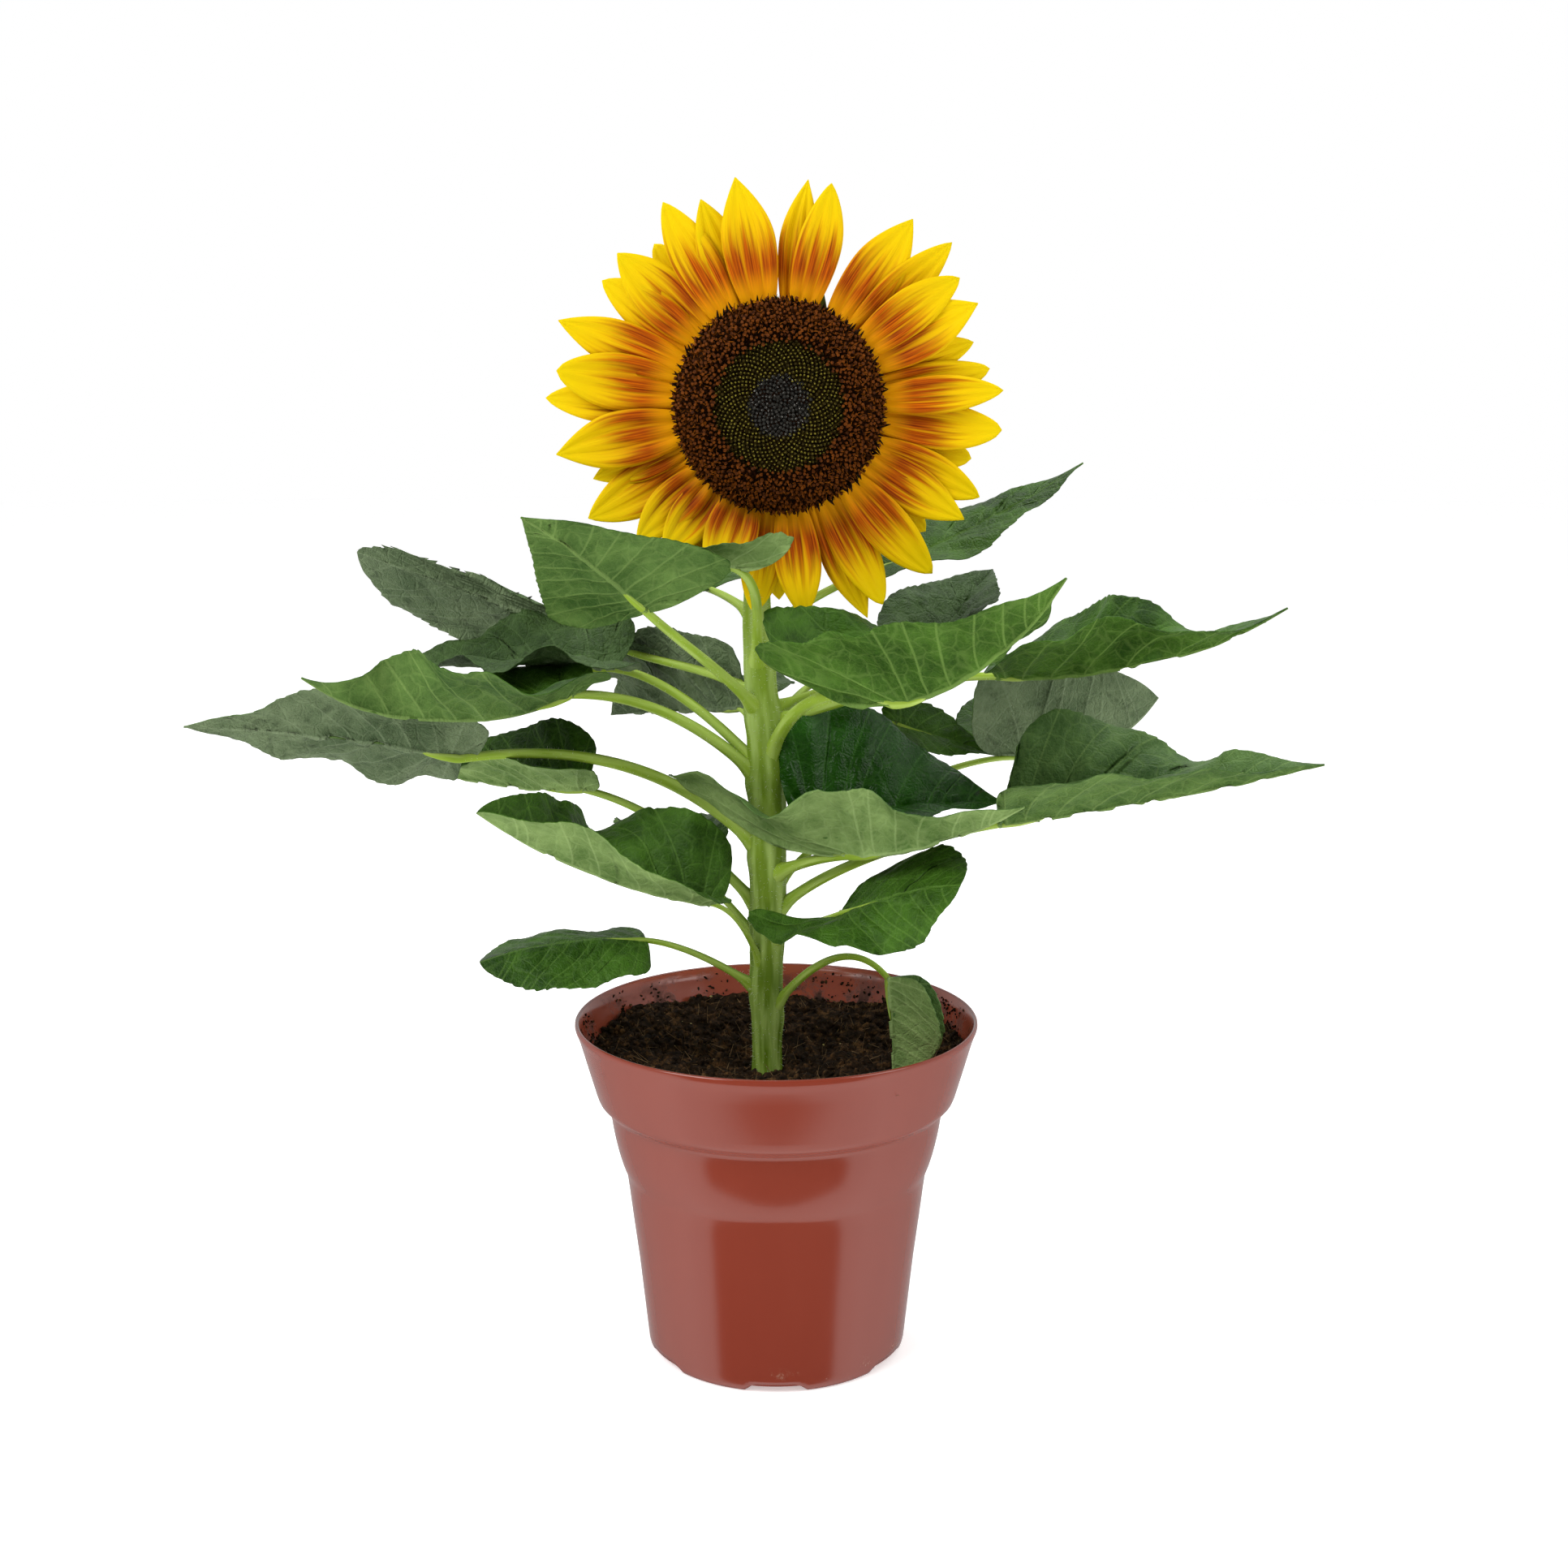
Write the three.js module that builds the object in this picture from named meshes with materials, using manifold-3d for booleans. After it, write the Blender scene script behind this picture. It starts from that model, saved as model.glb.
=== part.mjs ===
// A young sunflower in a plastic nursery pot: one upright stem, heart-shaped leaves on long
// stalks, and one flower head that faces the front. Millimetres, +Z up, front towards -Y.
// The origin is the centre of the pot's underside.

import * as THREE from 'three';
import { mergeVertices } from 'three/addons/utils/BufferGeometryUtils.js';
import Module from 'manifold-3d';

const wasm = await Module();
wasm.setup();

const GAP = 0.3;

// Pot: a 13 cm grower's pot with a deep collar. Heights and outer radii from foot to rim.
const POT_HEIGHT = 110;
const POT_WALL = 1.8;
const POT_FLOOR = 4;
const POT_SIDES = 40;
const POT_PROFILE = [
  [0, 41.1], [2.2, 42.3], [54, 48.2], [59, 48.9], [66, 51.3], [72, 52.7], [80.7, 54.1], [84.9, 57.7],
  [101, 62.5], [108.5, 65], [POT_HEIGHT, 65],
];
const NOTCHES = 6;
const NOTCH = { width: 19, height: 2.2, inner: 27, reach: 30 };

// Soil: level round the stem, banked up unevenly towards the wall, which it meets at its edge.
const SOIL_LEVEL = 92;
const SOIL_PAD_RADIUS = 9;
const SOIL_BANK = 8;
const SOIL_BANK_POWER = 1.6;
const SOIL_EDGE = 97;
const SOIL_RING_SHARES = [0.32, 0.55, 0.78, 1];
const SOIL_BUMP = 1.3;

// Stem: stations of [x, y, z, radius] from the cut at the soil to the back of the flower head.
const STEM_SIDES = 10;
const STEM_STEPS = 24;
const STEM_STATIONS = [
  [-3, 0, SOIL_LEVEL + GAP, 5.3], [-3, 0, 100, 4.7], [-3, 0, 135, 4.9], [-2.8, 0, 168, 5.6],
  [-3.2, 0, 195, 5.3], [-5, 1.5, 222, 4.8], [-6, 7, 246, 4.1], [-5, 13.5, 270, 3.9],
  [-2, 14, 290, 4], [0.6, 10, 302, 4.3], [1, 5.5, 304.5, 4.8], [1, 2.4, 304.5, 5],
];

// Flower head: centre of its axis, which runs along Y, and the depths of its layers.
const HEAD = new THREE.Vector3(1, 0, 304.5);
const HEAD_SIDES = 30;
const DISC_PROFILE = [
  [0, -19.2], [30.2, -19.2], [31.2, -21], [29.5, -24.2], [22, -26.4], [12, -26], [5, -24.8], [0, -24],
];
const CUP_PROFILE = [[0, -15.5], [27, -15.5], [27.5, -12], [18, -3.5], [6.5, 2], [0, 2]];
const RING_PROFILE = [[20, -18.9], [29, -18.9], [29, -15.8], [20, -15.8]];
const BRACTS = 14;
const BRACT = {
  root: 19, rootY: -8, length: 21, width: 11, tipY: -7, thick: 1, waist: 0.8, widest: 0.35,
  rows: [0, 0.35, 0.86, 1],
};

// Ray florets, one line each: direction in degrees from +X, reach from the head's axis, width,
// and how far the tip comes forward. Those set further back show between the others.
const PETAL = {
  root: 24, layersY: [-18.2, -17.2, -16.2], thick: 0.8, waist: 0.36, widest: 0.55,
  rows: [0, 0.35, 0.6, 0.86, 1],
};
const PETAL_CURL_POWER = 3;
const PETAL_ROUNDING = 0.74;
const PETAL_TIP_WIDTH = 0.5;
const FRONT_PETALS = [
  [101, 67, 17, 2], [82.5, 66, 12, 0], [76.5, 66, 14, 1], [54, 67, 17, 0], [35, 65, 14, 1],
  [27, 66, 17, 2], [4, 67, 12, 0], [354, 67, 15, 1], [336, 66, 14, 0], [329, 65, 15, 2],
  [313, 68, 15, 0], [298, 67, 14, 1], [277, 64, 15, 3], [263, 62, 14, 2], [248, 53, 17, 14],
  [231, 55, 15, 12], [223, 58, 15, 8], [210, 66, 17, 4], [192, 68, 18, 2], [171, 67, 18, 1],
  [159, 70, 15, 0], [137, 65, 18, 2], [120, 68, 15, 0], [111, 64, 15, 1],
];
const BACK_PETALS = [
  [43, 70, 13, -2], [18, 61, 12, -1], [10, 64, 12, -2], [345, 60, 13, -2], [320, 58, 13, -2],
  [293, 69, 13, -1], [270, 58, 14, -2], [240, 55, 13, 2], [201, 60, 13, -1], [178, 70, 14, -2],
  [145, 64, 15, -1], [128, 60, 13, -2],
];

// Leaves, lowest first. node: height on the stem. base: where stalk and blade meet. heading: degrees
// from +X, climb: degrees above level at base, middle and tip. left, right: how far each half is folded
// up, from lobe to tip, seen from the base. stalk: its radius. leave, enter: its climb at stem and blade.
// taper, blunt: how straight and how blunt the front of the outline is. wide: shares of the half width
// that the left and right halves have. lift: how steeply the lobes rise behind the base.
const LEAF_THICK = 1.2;
const LEAF_SHAPE = {
  widest: 0.24, lobes: [-0.13, -0.13], taper: 0.45, roll: 0, wave: 0, leave: 45, enter: null, pull: 0.9,
  wide: [1, 1], blunt: 1, lift: 0,
};
const LOBE_WIDTH = 0.5;
const LOBE_ROWS = [1, 0.5];
const LOBE_ROUND = 0.6;
const NOTCH_ROW = 0.65;
const FRONT_ROWS = 5;
const TIP_WIDTH = 0.015;
const VEIN_SPREAD = 1.35;
const MIDRIB_STEPS = 24;
const STALK = { steps: 5, sides: 5, slimming: 0.35, runsInto: 0.1, endRadius: 0.8 };
const LEAVES = [
  { name: 'leaf_right_hanging', node: 110, leave: 55, enter: -50, pull: 1.3, stalk: 1.7,
    base: [35, -18, 128], length: 30.5, width: 33, heading: 352, climb: [-84, -86, -88],
    left: [86], right: [62, 75, 80], widest: 0.5, lobes: [0, 0], taper: -0.35, blunt: 0.45 },
  { name: 'leaf_left_lowest', node: 117, leave: 40, stalk: 1.6,
    base: [-42, -6, 137], length: 53, width: 37, heading: 195, climb: [8, -4, -16],
    left: [-35], right: [-4], widest: 0.45, lobes: [-0.03, -0.03], taper: -0.5, wave: 1.5, blunt: 0.55 },
  { name: 'leaf_left_curled', node: 123, leave: 60, stalk: 1.3,
    base: [-21, -18, 152], length: 80, width: 58, heading: 199, climb: [13, 25, 37],
    left: [14, 16, 34, 28], right: [75, 72, 55, 20, 40, 60, 62], lobes: [-0.02, -0.08],
    taper: -0.2, blunt: 0.6 },
  { name: 'leaf_back_left_low', node: 131, leave: 50, stalk: 1.5,
    base: [-31, 22, 157], length: 46, width: 44, heading: 118, climb: [8, 5, -4], left: [30], right: [30] },
  { name: 'leaf_right_lobed', node: 135, leave: 30, stalk: 1.9,
    base: [20, -24, 150], length: 43, width: 58, heading: 330, climb: [26, 20, 10],
    left: [22, 20, 20], right: [-22, -24, -8, -30, -55, -50, -40], wide: [0.9, 0.66],
    lobes: [0.08, -0.75], lift: 0.016, widest: 0.55, taper: -0.2, blunt: 0.5 },
  { name: 'leaf_right_far', node: 142, leave: 50, enter: 12, stalk: 2.1,
    base: [70, -12, 176], length: 100, width: 66, heading: 348, climb: [10, 13, 16],
    left: [85, 78, 50, 25, 48, 30], right: [30, 28, 25], lobes: [0.08, 0.02], taper: 0.7 },
  { name: 'leaf_left_mid', node: 143, leave: 48, enter: 10, pull: 1, stalk: 2.1,
    base: [-63, 20, 181], length: 63, width: 50, heading: 166, climb: [-3, 5, 13],
    left: [28, 33, 30], right: [58, 58, 50], lobes: [-0.13, -0.04] },
  { name: 'leaf_right_hidden', node: 149, leave: 55, stalk: 1.6,
    base: [78, 18, 192], length: 57, width: 84, heading: 20, climb: [-4, 14, 50],
    left: [20], right: [75], lobes: [-0.2, -0.35], taper: -0.1, blunt: 0.42 },
  { name: 'leaf_front_long', node: 156, leave: 30, stalk: 2.3,
    base: [22, -22, 168], length: 64, width: 58, heading: 328, climb: [8, 20, 32],
    left: [5], right: [30, 52, 48, 36, 55, 55, 38, 36, 30], lobes: [-0.05, -0.9], lift: 0.0065,
    widest: 0.2, taper: 0.6, wave: 1 },
  { name: 'leaf_left_far', node: 163, leave: 48, enter: -6, pull: 1.15, stalk: 2.6,
    base: [-101, 4, 194], length: 85, width: 46, heading: 193, climb: [14, 9, 4],
    left: [10, 20, 0], right: [14, 8, 5], roll: 46, wave: 2.5, lobes: [-0.08, -0.02] },
  { name: 'leaf_back_low', node: 164, leave: 30, stalk: 1.8,
    base: [13, 42, 173], length: 66, width: 60, heading: 49, climb: [8, 5, 0], left: [15], right: [25] },
  { name: 'leaf_right_glossy', node: 173, stalk: 2.2,
    base: [9, -6, 177], length: 64, width: 77, heading: 7, climb: [6, 3, 0],
    left: [84, 74, 55, 35], right: [-8], wide: [1, 0.5], lobes: [-0.1, -0.1], widest: 0.2, taper: 0.6 },
  { name: 'leaf_right_small', node: 181, leave: 30, stalk: 1.4,
    base: [40, 36, 200], length: 42, width: 22, heading: 6, climb: [-17, -17, -17],
    left: [50], right: [-20] },
  { name: 'leaf_left_broad', node: 186, leave: 48, enter: 0, pull: 1.05, stalk: 2.4,
    base: [-64, -6, 216], length: 86, width: 68, heading: 197, climb: [-20, 4, 36],
    left: [16, 18, 34, 88, 25], right: [15], taper: 0.2 },
  { name: 'leaf_left_dark', node: 189, leave: 50, enter: 0, stalk: 2.2,
    base: [-54, 12, 222], length: 76, width: 50, heading: 164, climb: [1, -2, -5],
    left: [15, 10, 5], right: [50, 46, 42], lobes: [-0.2, -0.08], wave: 3 },
  { name: 'leaf_front_centre', node: 191, leave: 68, enter: -15, pull: 1, stalk: 2.6,
    base: [34, -54, 220], length: 69, width: 62, heading: 325, climb: [14, 36, 56],
    left: [82, 80, 30, 10, 10, 20], right: [40, 50, 46, 42, 36, 30], lobes: [-0.66, -0.55],
    lift: 0.009, wave: 1 },
  { name: 'leaf_back_left', node: 197, leave: 30, stalk: 2,
    base: [-12, 12, 209], length: 68, width: 60, heading: 132, climb: [-8, -8, -8],
    left: [70], right: [20], widest: 0.45, taper: -0.1 },
  { name: 'leaf_back_mid', node: 200, leave: 30, stalk: 1.8,
    base: [14, 40, 214], length: 68, width: 56, heading: 58, climb: [6, 3, -3], left: [20], right: [20] },
  { name: 'leaf_right_upper', node: 205, leave: 20, enter: 0, stalk: 2.1,
    base: [69, -8, 222], length: 91, width: 58, heading: 345, climb: [0, 14, 33],
    left: [10, 30, 75, 15, 10], right: [15, 30, 48, 22, 8], lobes: [-0.05, -0.02], taper: 0.7 },
  { name: 'leaf_back_right', node: 208, leave: 30, stalk: 1.8,
    base: [50, 28, 226], length: 54, width: 44, heading: 60, climb: [25, 25, 25], left: [30], right: [30] },
  { name: 'leaf_front_left_top', node: 208, stalk: 2.2,
    base: [-39, -38, 246], length: 58, width: 64, heading: 233, climb: [35, 30, 25],
    left: [8], right: [8], roll: 22, widest: 0.08, lobes: [-0.08, -0.08], taper: 0.85 },
  { name: 'leaf_left_pale', node: 213, leave: 35, stalk: 2,
    base: [-50, 28, 226], length: 95, width: 54, heading: 171, climb: [19, 19, 19],
    left: [5], right: [5], roll: 55, wave: 2, wide: [0.28, 0.85], widest: 0.7, taper: -0.2, blunt: 0.5 },
  { name: 'leaf_under_flower', node: 223, leave: 40, stalk: 2.2,
    base: [-14, -31, 258], length: 22, width: 27, heading: 158, climb: [10, 8, 4],
    left: [80, 45, 20, 10], right: [10], lobes: [-0.9, -0.2], lift: 0.012 },
  { name: 'leaf_right_top', node: 232, stalk: 1.9,
    base: [32, 18, 253], length: 80, width: 34, heading: 19, climb: [18, 24, 32],
    left: [35, 25, 10], right: [5, -15, -5], taper: 0.5 },
  { name: 'leaf_back_top', node: 238, leave: 25, stalk: 1.8,
    base: [-24, 32, 246], length: 66, width: 54, heading: 128, climb: [4, 1, -4], left: [20], right: [20] },
];

const { degToRad, clamp, smoothstep } = THREE.MathUtils;

const MATERIALS = {
  pot: new THREE.MeshStandardMaterial({ color: 0x99503f, roughness: 0.45, metalness: 0 }),
  soil: new THREE.MeshStandardMaterial({ color: 0x2c1f18, roughness: 1, metalness: 0 }),
  stem: new THREE.MeshStandardMaterial({ color: 0x8fae4e, roughness: 0.6, metalness: 0 }),
  leaf: new THREE.MeshStandardMaterial({ color: 0x4b7539, roughness: 0.55, metalness: 0 }),
  petal: new THREE.MeshStandardMaterial({ color: 0xf6c80e, roughness: 0.55, metalness: 0 }),
  disc: new THREE.MeshStandardMaterial({ color: 0x4a2611, roughness: 0.85, metalness: 0 }),
};

// Closed geometry to solid: shared vertices merged, flat slivers dropped, faces turned outwards.
function solidOf(geometry) {
  const bare = geometry.clone();
  bare.deleteAttribute('normal');
  bare.deleteAttribute('uv');
  const merged = mergeVertices(bare, 1e-4);
  const vertProperties = new Float32Array(merged.attributes.position.array);
  const index = merged.index.array;
  const corner = (i) => new THREE.Vector3().fromArray(vertProperties, 3 * i);
  const kept = [];
  let volume = 0;
  for (let i = 0; i < index.length; i += 3) {
    const [a, b, c] = [index[i], index[i + 1], index[i + 2]];
    if (a !== b && b !== c && a !== c) {
      kept.push([a, b, c]);
      volume += corner(a).dot(corner(b).cross(corner(c)));
    }
  }
  const facing = volume > 0 ? kept : kept.map(([a, b, c]) => [a, c, b]);
  const triVerts = new Uint32Array(facing.flat());
  return new wasm.Manifold(new wasm.Mesh({ numProp: 3, vertProperties, triVerts }));
}

function meshOf(name, solid, material) {
  const { vertProperties, triVerts } = solid.getMesh();
  const geometry = new THREE.BufferGeometry();
  geometry.setAttribute('position', new THREE.BufferAttribute(new Float32Array(vertProperties), 3));
  geometry.setIndex(new THREE.BufferAttribute(new Uint32Array(triVerts), 1));
  geometry.computeVertexNormals();
  const mesh = new THREE.Mesh(geometry, material);
  mesh.name = name;
  return mesh;
}

// The largest piece of a solid, so that no loose scrap stays after a cut.
function largest(solid) {
  const pieces = solid.decompose();
  return pieces.reduce((best, piece) => (piece.volume() > best.volume() ? piece : best));
}

function geometryOf(points, faces) {
  const geometry = new THREE.BufferGeometry();
  geometry.setAttribute('position', new THREE.Float32BufferAttribute(points.flatMap((p) => p.toArray()), 3));
  geometry.setIndex(faces.flat());
  return geometry;
}

// Round body from a closed profile of [radius, height], turned about Y.
function turned(profile, sides) {
  return new THREE.LatheGeometry(profile.map(([r, h]) => new THREE.Vector2(r, h)), sides);
}

// Round limb along a list of points, with a radius for each, closed by a flat cap at each end.
function limb(points, radii, sides) {
  const corners = [];
  const faces = [];
  let across = new THREE.Vector3(0, 1, 0);
  points.forEach((point, i) => {
    const before = points[Math.max(i - 1, 0)];
    const after = points[Math.min(i + 1, points.length - 1)];
    const forward = after.clone().sub(before).normalize();
    across = across.sub(forward.clone().multiplyScalar(across.dot(forward))).normalize();
    const up = forward.clone().cross(across);
    for (let k = 0; k < sides; k += 1) {
      const turn = (2 * Math.PI * k) / sides;
      const offset = across.clone().multiplyScalar(Math.cos(turn)).addScaledVector(up, Math.sin(turn));
      corners.push(point.clone().addScaledVector(offset, radii[i]));
    }
  });
  for (let i = 0; i < points.length - 1; i += 1) {
    for (let k = 0; k < sides; k += 1) {
      const next = (k + 1) % sides;
      const [a, b] = [i * sides + k, i * sides + next];
      faces.push([a, b, b + sides], [a, b + sides, a + sides]);
    }
  }
  const last = (points.length - 1) * sides;
  for (let k = 1; k < sides - 1; k += 1) {
    faces.push([0, k + 1, k], [last, last + k, last + k + 1]);
  }
  return geometryOf(corners, faces);
}

// Thin closed sheet on a grid of points, as thick as stated, half to each side.
function sheet(grid, thick) {
  const rows = grid.length;
  const columns = grid[0].length;
  const half = [];
  grid.forEach((row, i) => {
    row.forEach((point, j) => {
      const alongRow = grid[i][Math.min(j + 1, columns - 1)].clone().sub(grid[i][Math.max(j - 1, 0)]);
      const downRows = grid[Math.min(i + 1, rows - 1)][j].clone().sub(grid[Math.max(i - 1, 0)][j]);
      half.push(alongRow.cross(downRows).normalize().multiplyScalar(thick / 2));
    });
  });
  const middle = grid.flat();
  const count = middle.length;
  const corners = middle.map((point, i) => point.clone().add(half[i]));
  corners.push(...middle.map((point, i) => point.clone().sub(half[i])));
  const faces = [];
  const at = (i, j) => i * columns + j;
  for (let i = 0; i < rows - 1; i += 1) {
    for (let j = 0; j < columns - 1; j += 1) {
      const [a, b, c, d] = [at(i, j), at(i, j + 1), at(i + 1, j + 1), at(i + 1, j)];
      faces.push([a, b, c], [a, c, d], [count + a, count + c, count + b], [count + a, count + d, count + c]);
    }
  }
  const rim = [];
  for (let j = 0; j < columns - 1; j += 1) {
    rim.push([at(0, j + 1), at(0, j)], [at(rows - 1, j), at(rows - 1, j + 1)]);
  }
  for (let i = 0; i < rows - 1; i += 1) {
    rim.push([at(i, 0), at(i + 1, 0)], [at(i + 1, columns - 1), at(i, columns - 1)]);
  }
  rim.forEach(([a, b]) => faces.push([a, b, count + b], [a, count + b, count + a]));
  return geometryOf(corners, faces);
}

// Value on a list of evenly spaced stations, eased from each to the next.
function along(values, share) {
  const last = values.length - 1;
  const place = clamp(share, 0, 1) * last;
  const i = Math.min(Math.floor(place), Math.max(last - 1, 0));
  const next = values[Math.min(i + 1, last)];
  return values[i] + (next - values[i]) * smoothstep(place - i, 0, 1);
}

function direction(heading, climb) {
  const [h, c] = [degToRad(heading), degToRad(climb)];
  return new THREE.Vector3(Math.cos(c) * Math.cos(h), Math.cos(c) * Math.sin(h), Math.sin(c));
}

function wallRadius(height) {
  const above = POT_PROFILE.findIndex(([z]) => z > height);
  const [[z0, r0], [z1, r1]] = [POT_PROFILE[above - 1], POT_PROFILE[above]];
  return r0 + ((r1 - r0) * (height - z0)) / (z1 - z0) - POT_WALL;
}

function pot() {
  const outside = POT_PROFILE.map(([z, r]) => [r, z]);
  const inside = POT_PROFILE.filter(([z]) => z > POT_FLOOR).map(([z, r]) => [r - POT_WALL, z]).reverse();
  const profile = [[0, 0], ...outside, ...inside, [wallRadius(POT_FLOOR), POT_FLOOR], [0, POT_FLOOR]];
  let body = solidOf(turned(profile, POT_SIDES).rotateX(Math.PI / 2));
  for (let k = 0; k < NOTCHES; k += 1) {
    const cutter = new THREE.BoxGeometry(NOTCH.width, NOTCH.reach, 2 * NOTCH.height);
    cutter.translate(0, -NOTCH.inner - NOTCH.reach / 2, 0).rotateZ((2 * Math.PI * k) / NOTCHES);
    body = body.subtract(solidOf(cutter));
  }
  return body;
}

function soil() {
  const outer = wallRadius(SOIL_EDGE) - GAP;
  const bump = (r, turn) => SOIL_BUMP * (Math.sin(3 * turn + r / 7) + 0.7 * Math.sin(7 * turn - r / 4));
  const rings = [[SOIL_PAD_RADIUS, () => SOIL_LEVEL]];
  SOIL_RING_SHARES.forEach((share) => {
    const r = outer * share;
    const bank = SOIL_LEVEL + SOIL_BANK * share ** SOIL_BANK_POWER;
    rings.push([r, (turn) => bank + bump(r, turn)]);
  });
  POT_PROFILE.filter(([z]) => z > POT_FLOOR && z < SOIL_LEVEL).reverse().forEach(([z]) => {
    rings.push([wallRadius(z) - GAP, () => z]);
  });
  rings.push([wallRadius(POT_FLOOR + GAP) - GAP, () => POT_FLOOR + GAP]);
  const corners = [new THREE.Vector3(0, 0, SOIL_LEVEL)];
  const faces = [];
  rings.forEach(([r, height], i) => {
    const start = 1 + i * POT_SIDES;
    for (let k = 0; k < POT_SIDES; k += 1) {
      const turn = (2 * Math.PI * k) / POT_SIDES;
      const next = (k + 1) % POT_SIDES;
      corners.push(new THREE.Vector3(r * Math.sin(turn), -r * Math.cos(turn), height(turn)));
      if (i === 0) faces.push([0, start + k, start + next]);
      else {
        faces.push([start + k - POT_SIDES, start + k, start + next]);
        faces.push([start + k - POT_SIDES, start + next, start + next - POT_SIDES]);
      }
    }
  });
  const foot = corners.length;
  corners.push(new THREE.Vector3(0, 0, POT_FLOOR + GAP));
  const lowest = foot - POT_SIDES;
  for (let k = 0; k < POT_SIDES; k += 1) faces.push([foot, lowest + ((k + 1) % POT_SIDES), lowest + k]);
  return solidOf(geometryOf(corners, faces));
}

const stemCurve = new THREE.CatmullRomCurve3(STEM_STATIONS.map(([x, y, z]) => new THREE.Vector3(x, y, z)));

function stem(grow) {
  const points = stemCurve.getPoints(STEM_STEPS);
  const radii = points.map((point, i) => along(STEM_STATIONS.map(([, , , r]) => r), i / STEM_STEPS) + grow);
  return solidOf(limb(points, radii, STEM_SIDES));
}

// Point on the stem's axis at a height below the neck.
function stemPoint(height) {
  const above = STEM_STATIONS.findIndex(([, , z]) => z > height);
  const [low, high] = [STEM_STATIONS[above - 1], STEM_STATIONS[above]];
  const share = (height - low[2]) / (high[2] - low[2]);
  return new THREE.Vector3(...low.slice(0, 3)).lerp(new THREE.Vector3(...high.slice(0, 3)), share);
}

// Place and direction on the midrib. Behind the base it runs straight on, back along the stalk,
// and lifts as far as the leaf's entry says.
function midrib(leaf, distance) {
  const share = clamp(distance / leaf.length, 0, 1);
  const point = new THREE.Vector3(...leaf.base);
  for (let i = 0; i < MIDRIB_STEPS; i += 1) {
    const climb = along(leaf.climb, (share * (i + 0.5)) / MIDRIB_STEPS);
    point.addScaledVector(direction(leaf.heading, climb), (share * leaf.length) / MIDRIB_STEPS);
  }
  const forward = direction(leaf.heading, along(leaf.climb, share));
  const behind = Math.min(distance, 0);
  point.addScaledVector(forward, behind);
  point.z += leaf.lift * behind ** 2;
  return { point, forward, share };
}

// Half the outline, from the notch beside the stalk round the lobe to the tip: places along the
// midrib in shares of the length, and widths in shares of the half width.
function outline(leaf, lobe) {
  const quarter = Math.PI / 2;
  const notch = quarter * NOTCH_ROW;
  const rows = [[lobe * Math.cos(notch) ** LOBE_ROUND, LOBE_WIDTH * (1 - Math.sin(notch))]];
  LOBE_ROWS.forEach((share) => {
    const turn = quarter * share;
    const back = leaf.widest - (leaf.widest - lobe) * Math.sin(turn);
    rows.push([back, LOBE_WIDTH + (1 - LOBE_WIDTH) * Math.cos(turn)]);
  });
  for (let i = 0; i <= FRONT_ROWS; i += 1) {
    const left = 1 - i / FRONT_ROWS;
    const width = Math.max((1 - leaf.taper) * Math.sin(quarter * left) + leaf.taper * left, 0);
    rows.push([1 - (1 - leaf.widest) * left, Math.max(width ** leaf.blunt, TIP_WIDTH)]);
  }
  return rows;
}

// Point on one half of the blade, side +1 for the left, out along a vein of the outline's row.
function bladePoint(leaf, side, row, rootShare, lobe, share, grow) {
  const [back, width] = row;
  const a = leaf.length * (rootShare + (back - rootShare) * share);
  const wide = leaf.wide[side > 0 ? 0 : 1];
  const b = ((width * share * leaf.width) / 2) * wide + grow * share;
  const { point, forward, share: inBlade } = midrib(leaf, a);
  const level = new THREE.Vector3(-forward.y, forward.x, 0).normalize();
  const roll = degToRad(leaf.roll);
  const up = forward.clone().cross(level);
  const left = level.clone().multiplyScalar(Math.cos(roll)).addScaledVector(up, Math.sin(roll));
  const over = up.multiplyScalar(Math.cos(roll)).addScaledVector(level, -Math.sin(roll));
  const fold = degToRad(along(side > 0 ? leaf.left : leaf.right, (a / leaf.length - lobe) / (1 - lobe)));
  const outShare = (2 * b) / leaf.width;
  const phase = side > 0 ? 0 : 0.7 * Math.PI;
  const wave = leaf.wave * outShare ** 2 * Math.sin((4 * Math.PI * a) / leaf.length + phase) * (inBlade < 1);
  point.addScaledVector(left, side * b * Math.cos(fold));
  return point.addScaledVector(over, b * Math.sin(fold) + wave);
}

function blade(leaf, grow) {
  const outlines = leaf.lobes.map((lobe) => outline(leaf, lobe));
  const last = outlines[0].length - 1;
  const grid = outlines[0].map((_, k) => {
    const root = (k / last) ** VEIN_SPREAD;
    const point = (side, share) => {
      const which = side > 0 ? 0 : 1;
      return bladePoint(leaf, side, outlines[which][k], root, leaf.lobes[which], share, grow);
    };
    return [point(1, 1), point(1, 0.5), point(1, 0), point(-1, 0.5), point(-1, 1)];
  });
  return solidOf(sheet(grid, LEAF_THICK + 2 * grow));
}

// Stalk from the stem's axis to the blade, then on as the thick part of the midrib.
function stalk(leaf, grow) {
  const start = stemPoint(leaf.node);
  const end = new THREE.Vector3(...leaf.base);
  const span = start.distanceTo(end) * leaf.pull;
  const heading = THREE.MathUtils.radToDeg(Math.atan2(end.y - start.y, end.x - start.x));
  const leaving = direction(heading, leaf.leave).multiplyScalar(span / 3);
  const entering = direction(leaf.heading, leaf.enter ?? leaf.climb[0]).multiplyScalar(span / 3);
  const pulls = [start.clone().add(leaving), end.clone().sub(entering)];
  const points = new THREE.CubicBezierCurve3(start, ...pulls, end).getPoints(STALK.steps);
  const radii = points.map((_, i) => leaf.stalk * (1 - (STALK.slimming * i) / STALK.steps) + grow);
  points.push(midrib(leaf, STALK.runsInto * leaf.length).point);
  radii.push(STALK.endRadius + grow);
  return solidOf(limb(points, radii, STALK.sides));
}

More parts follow.
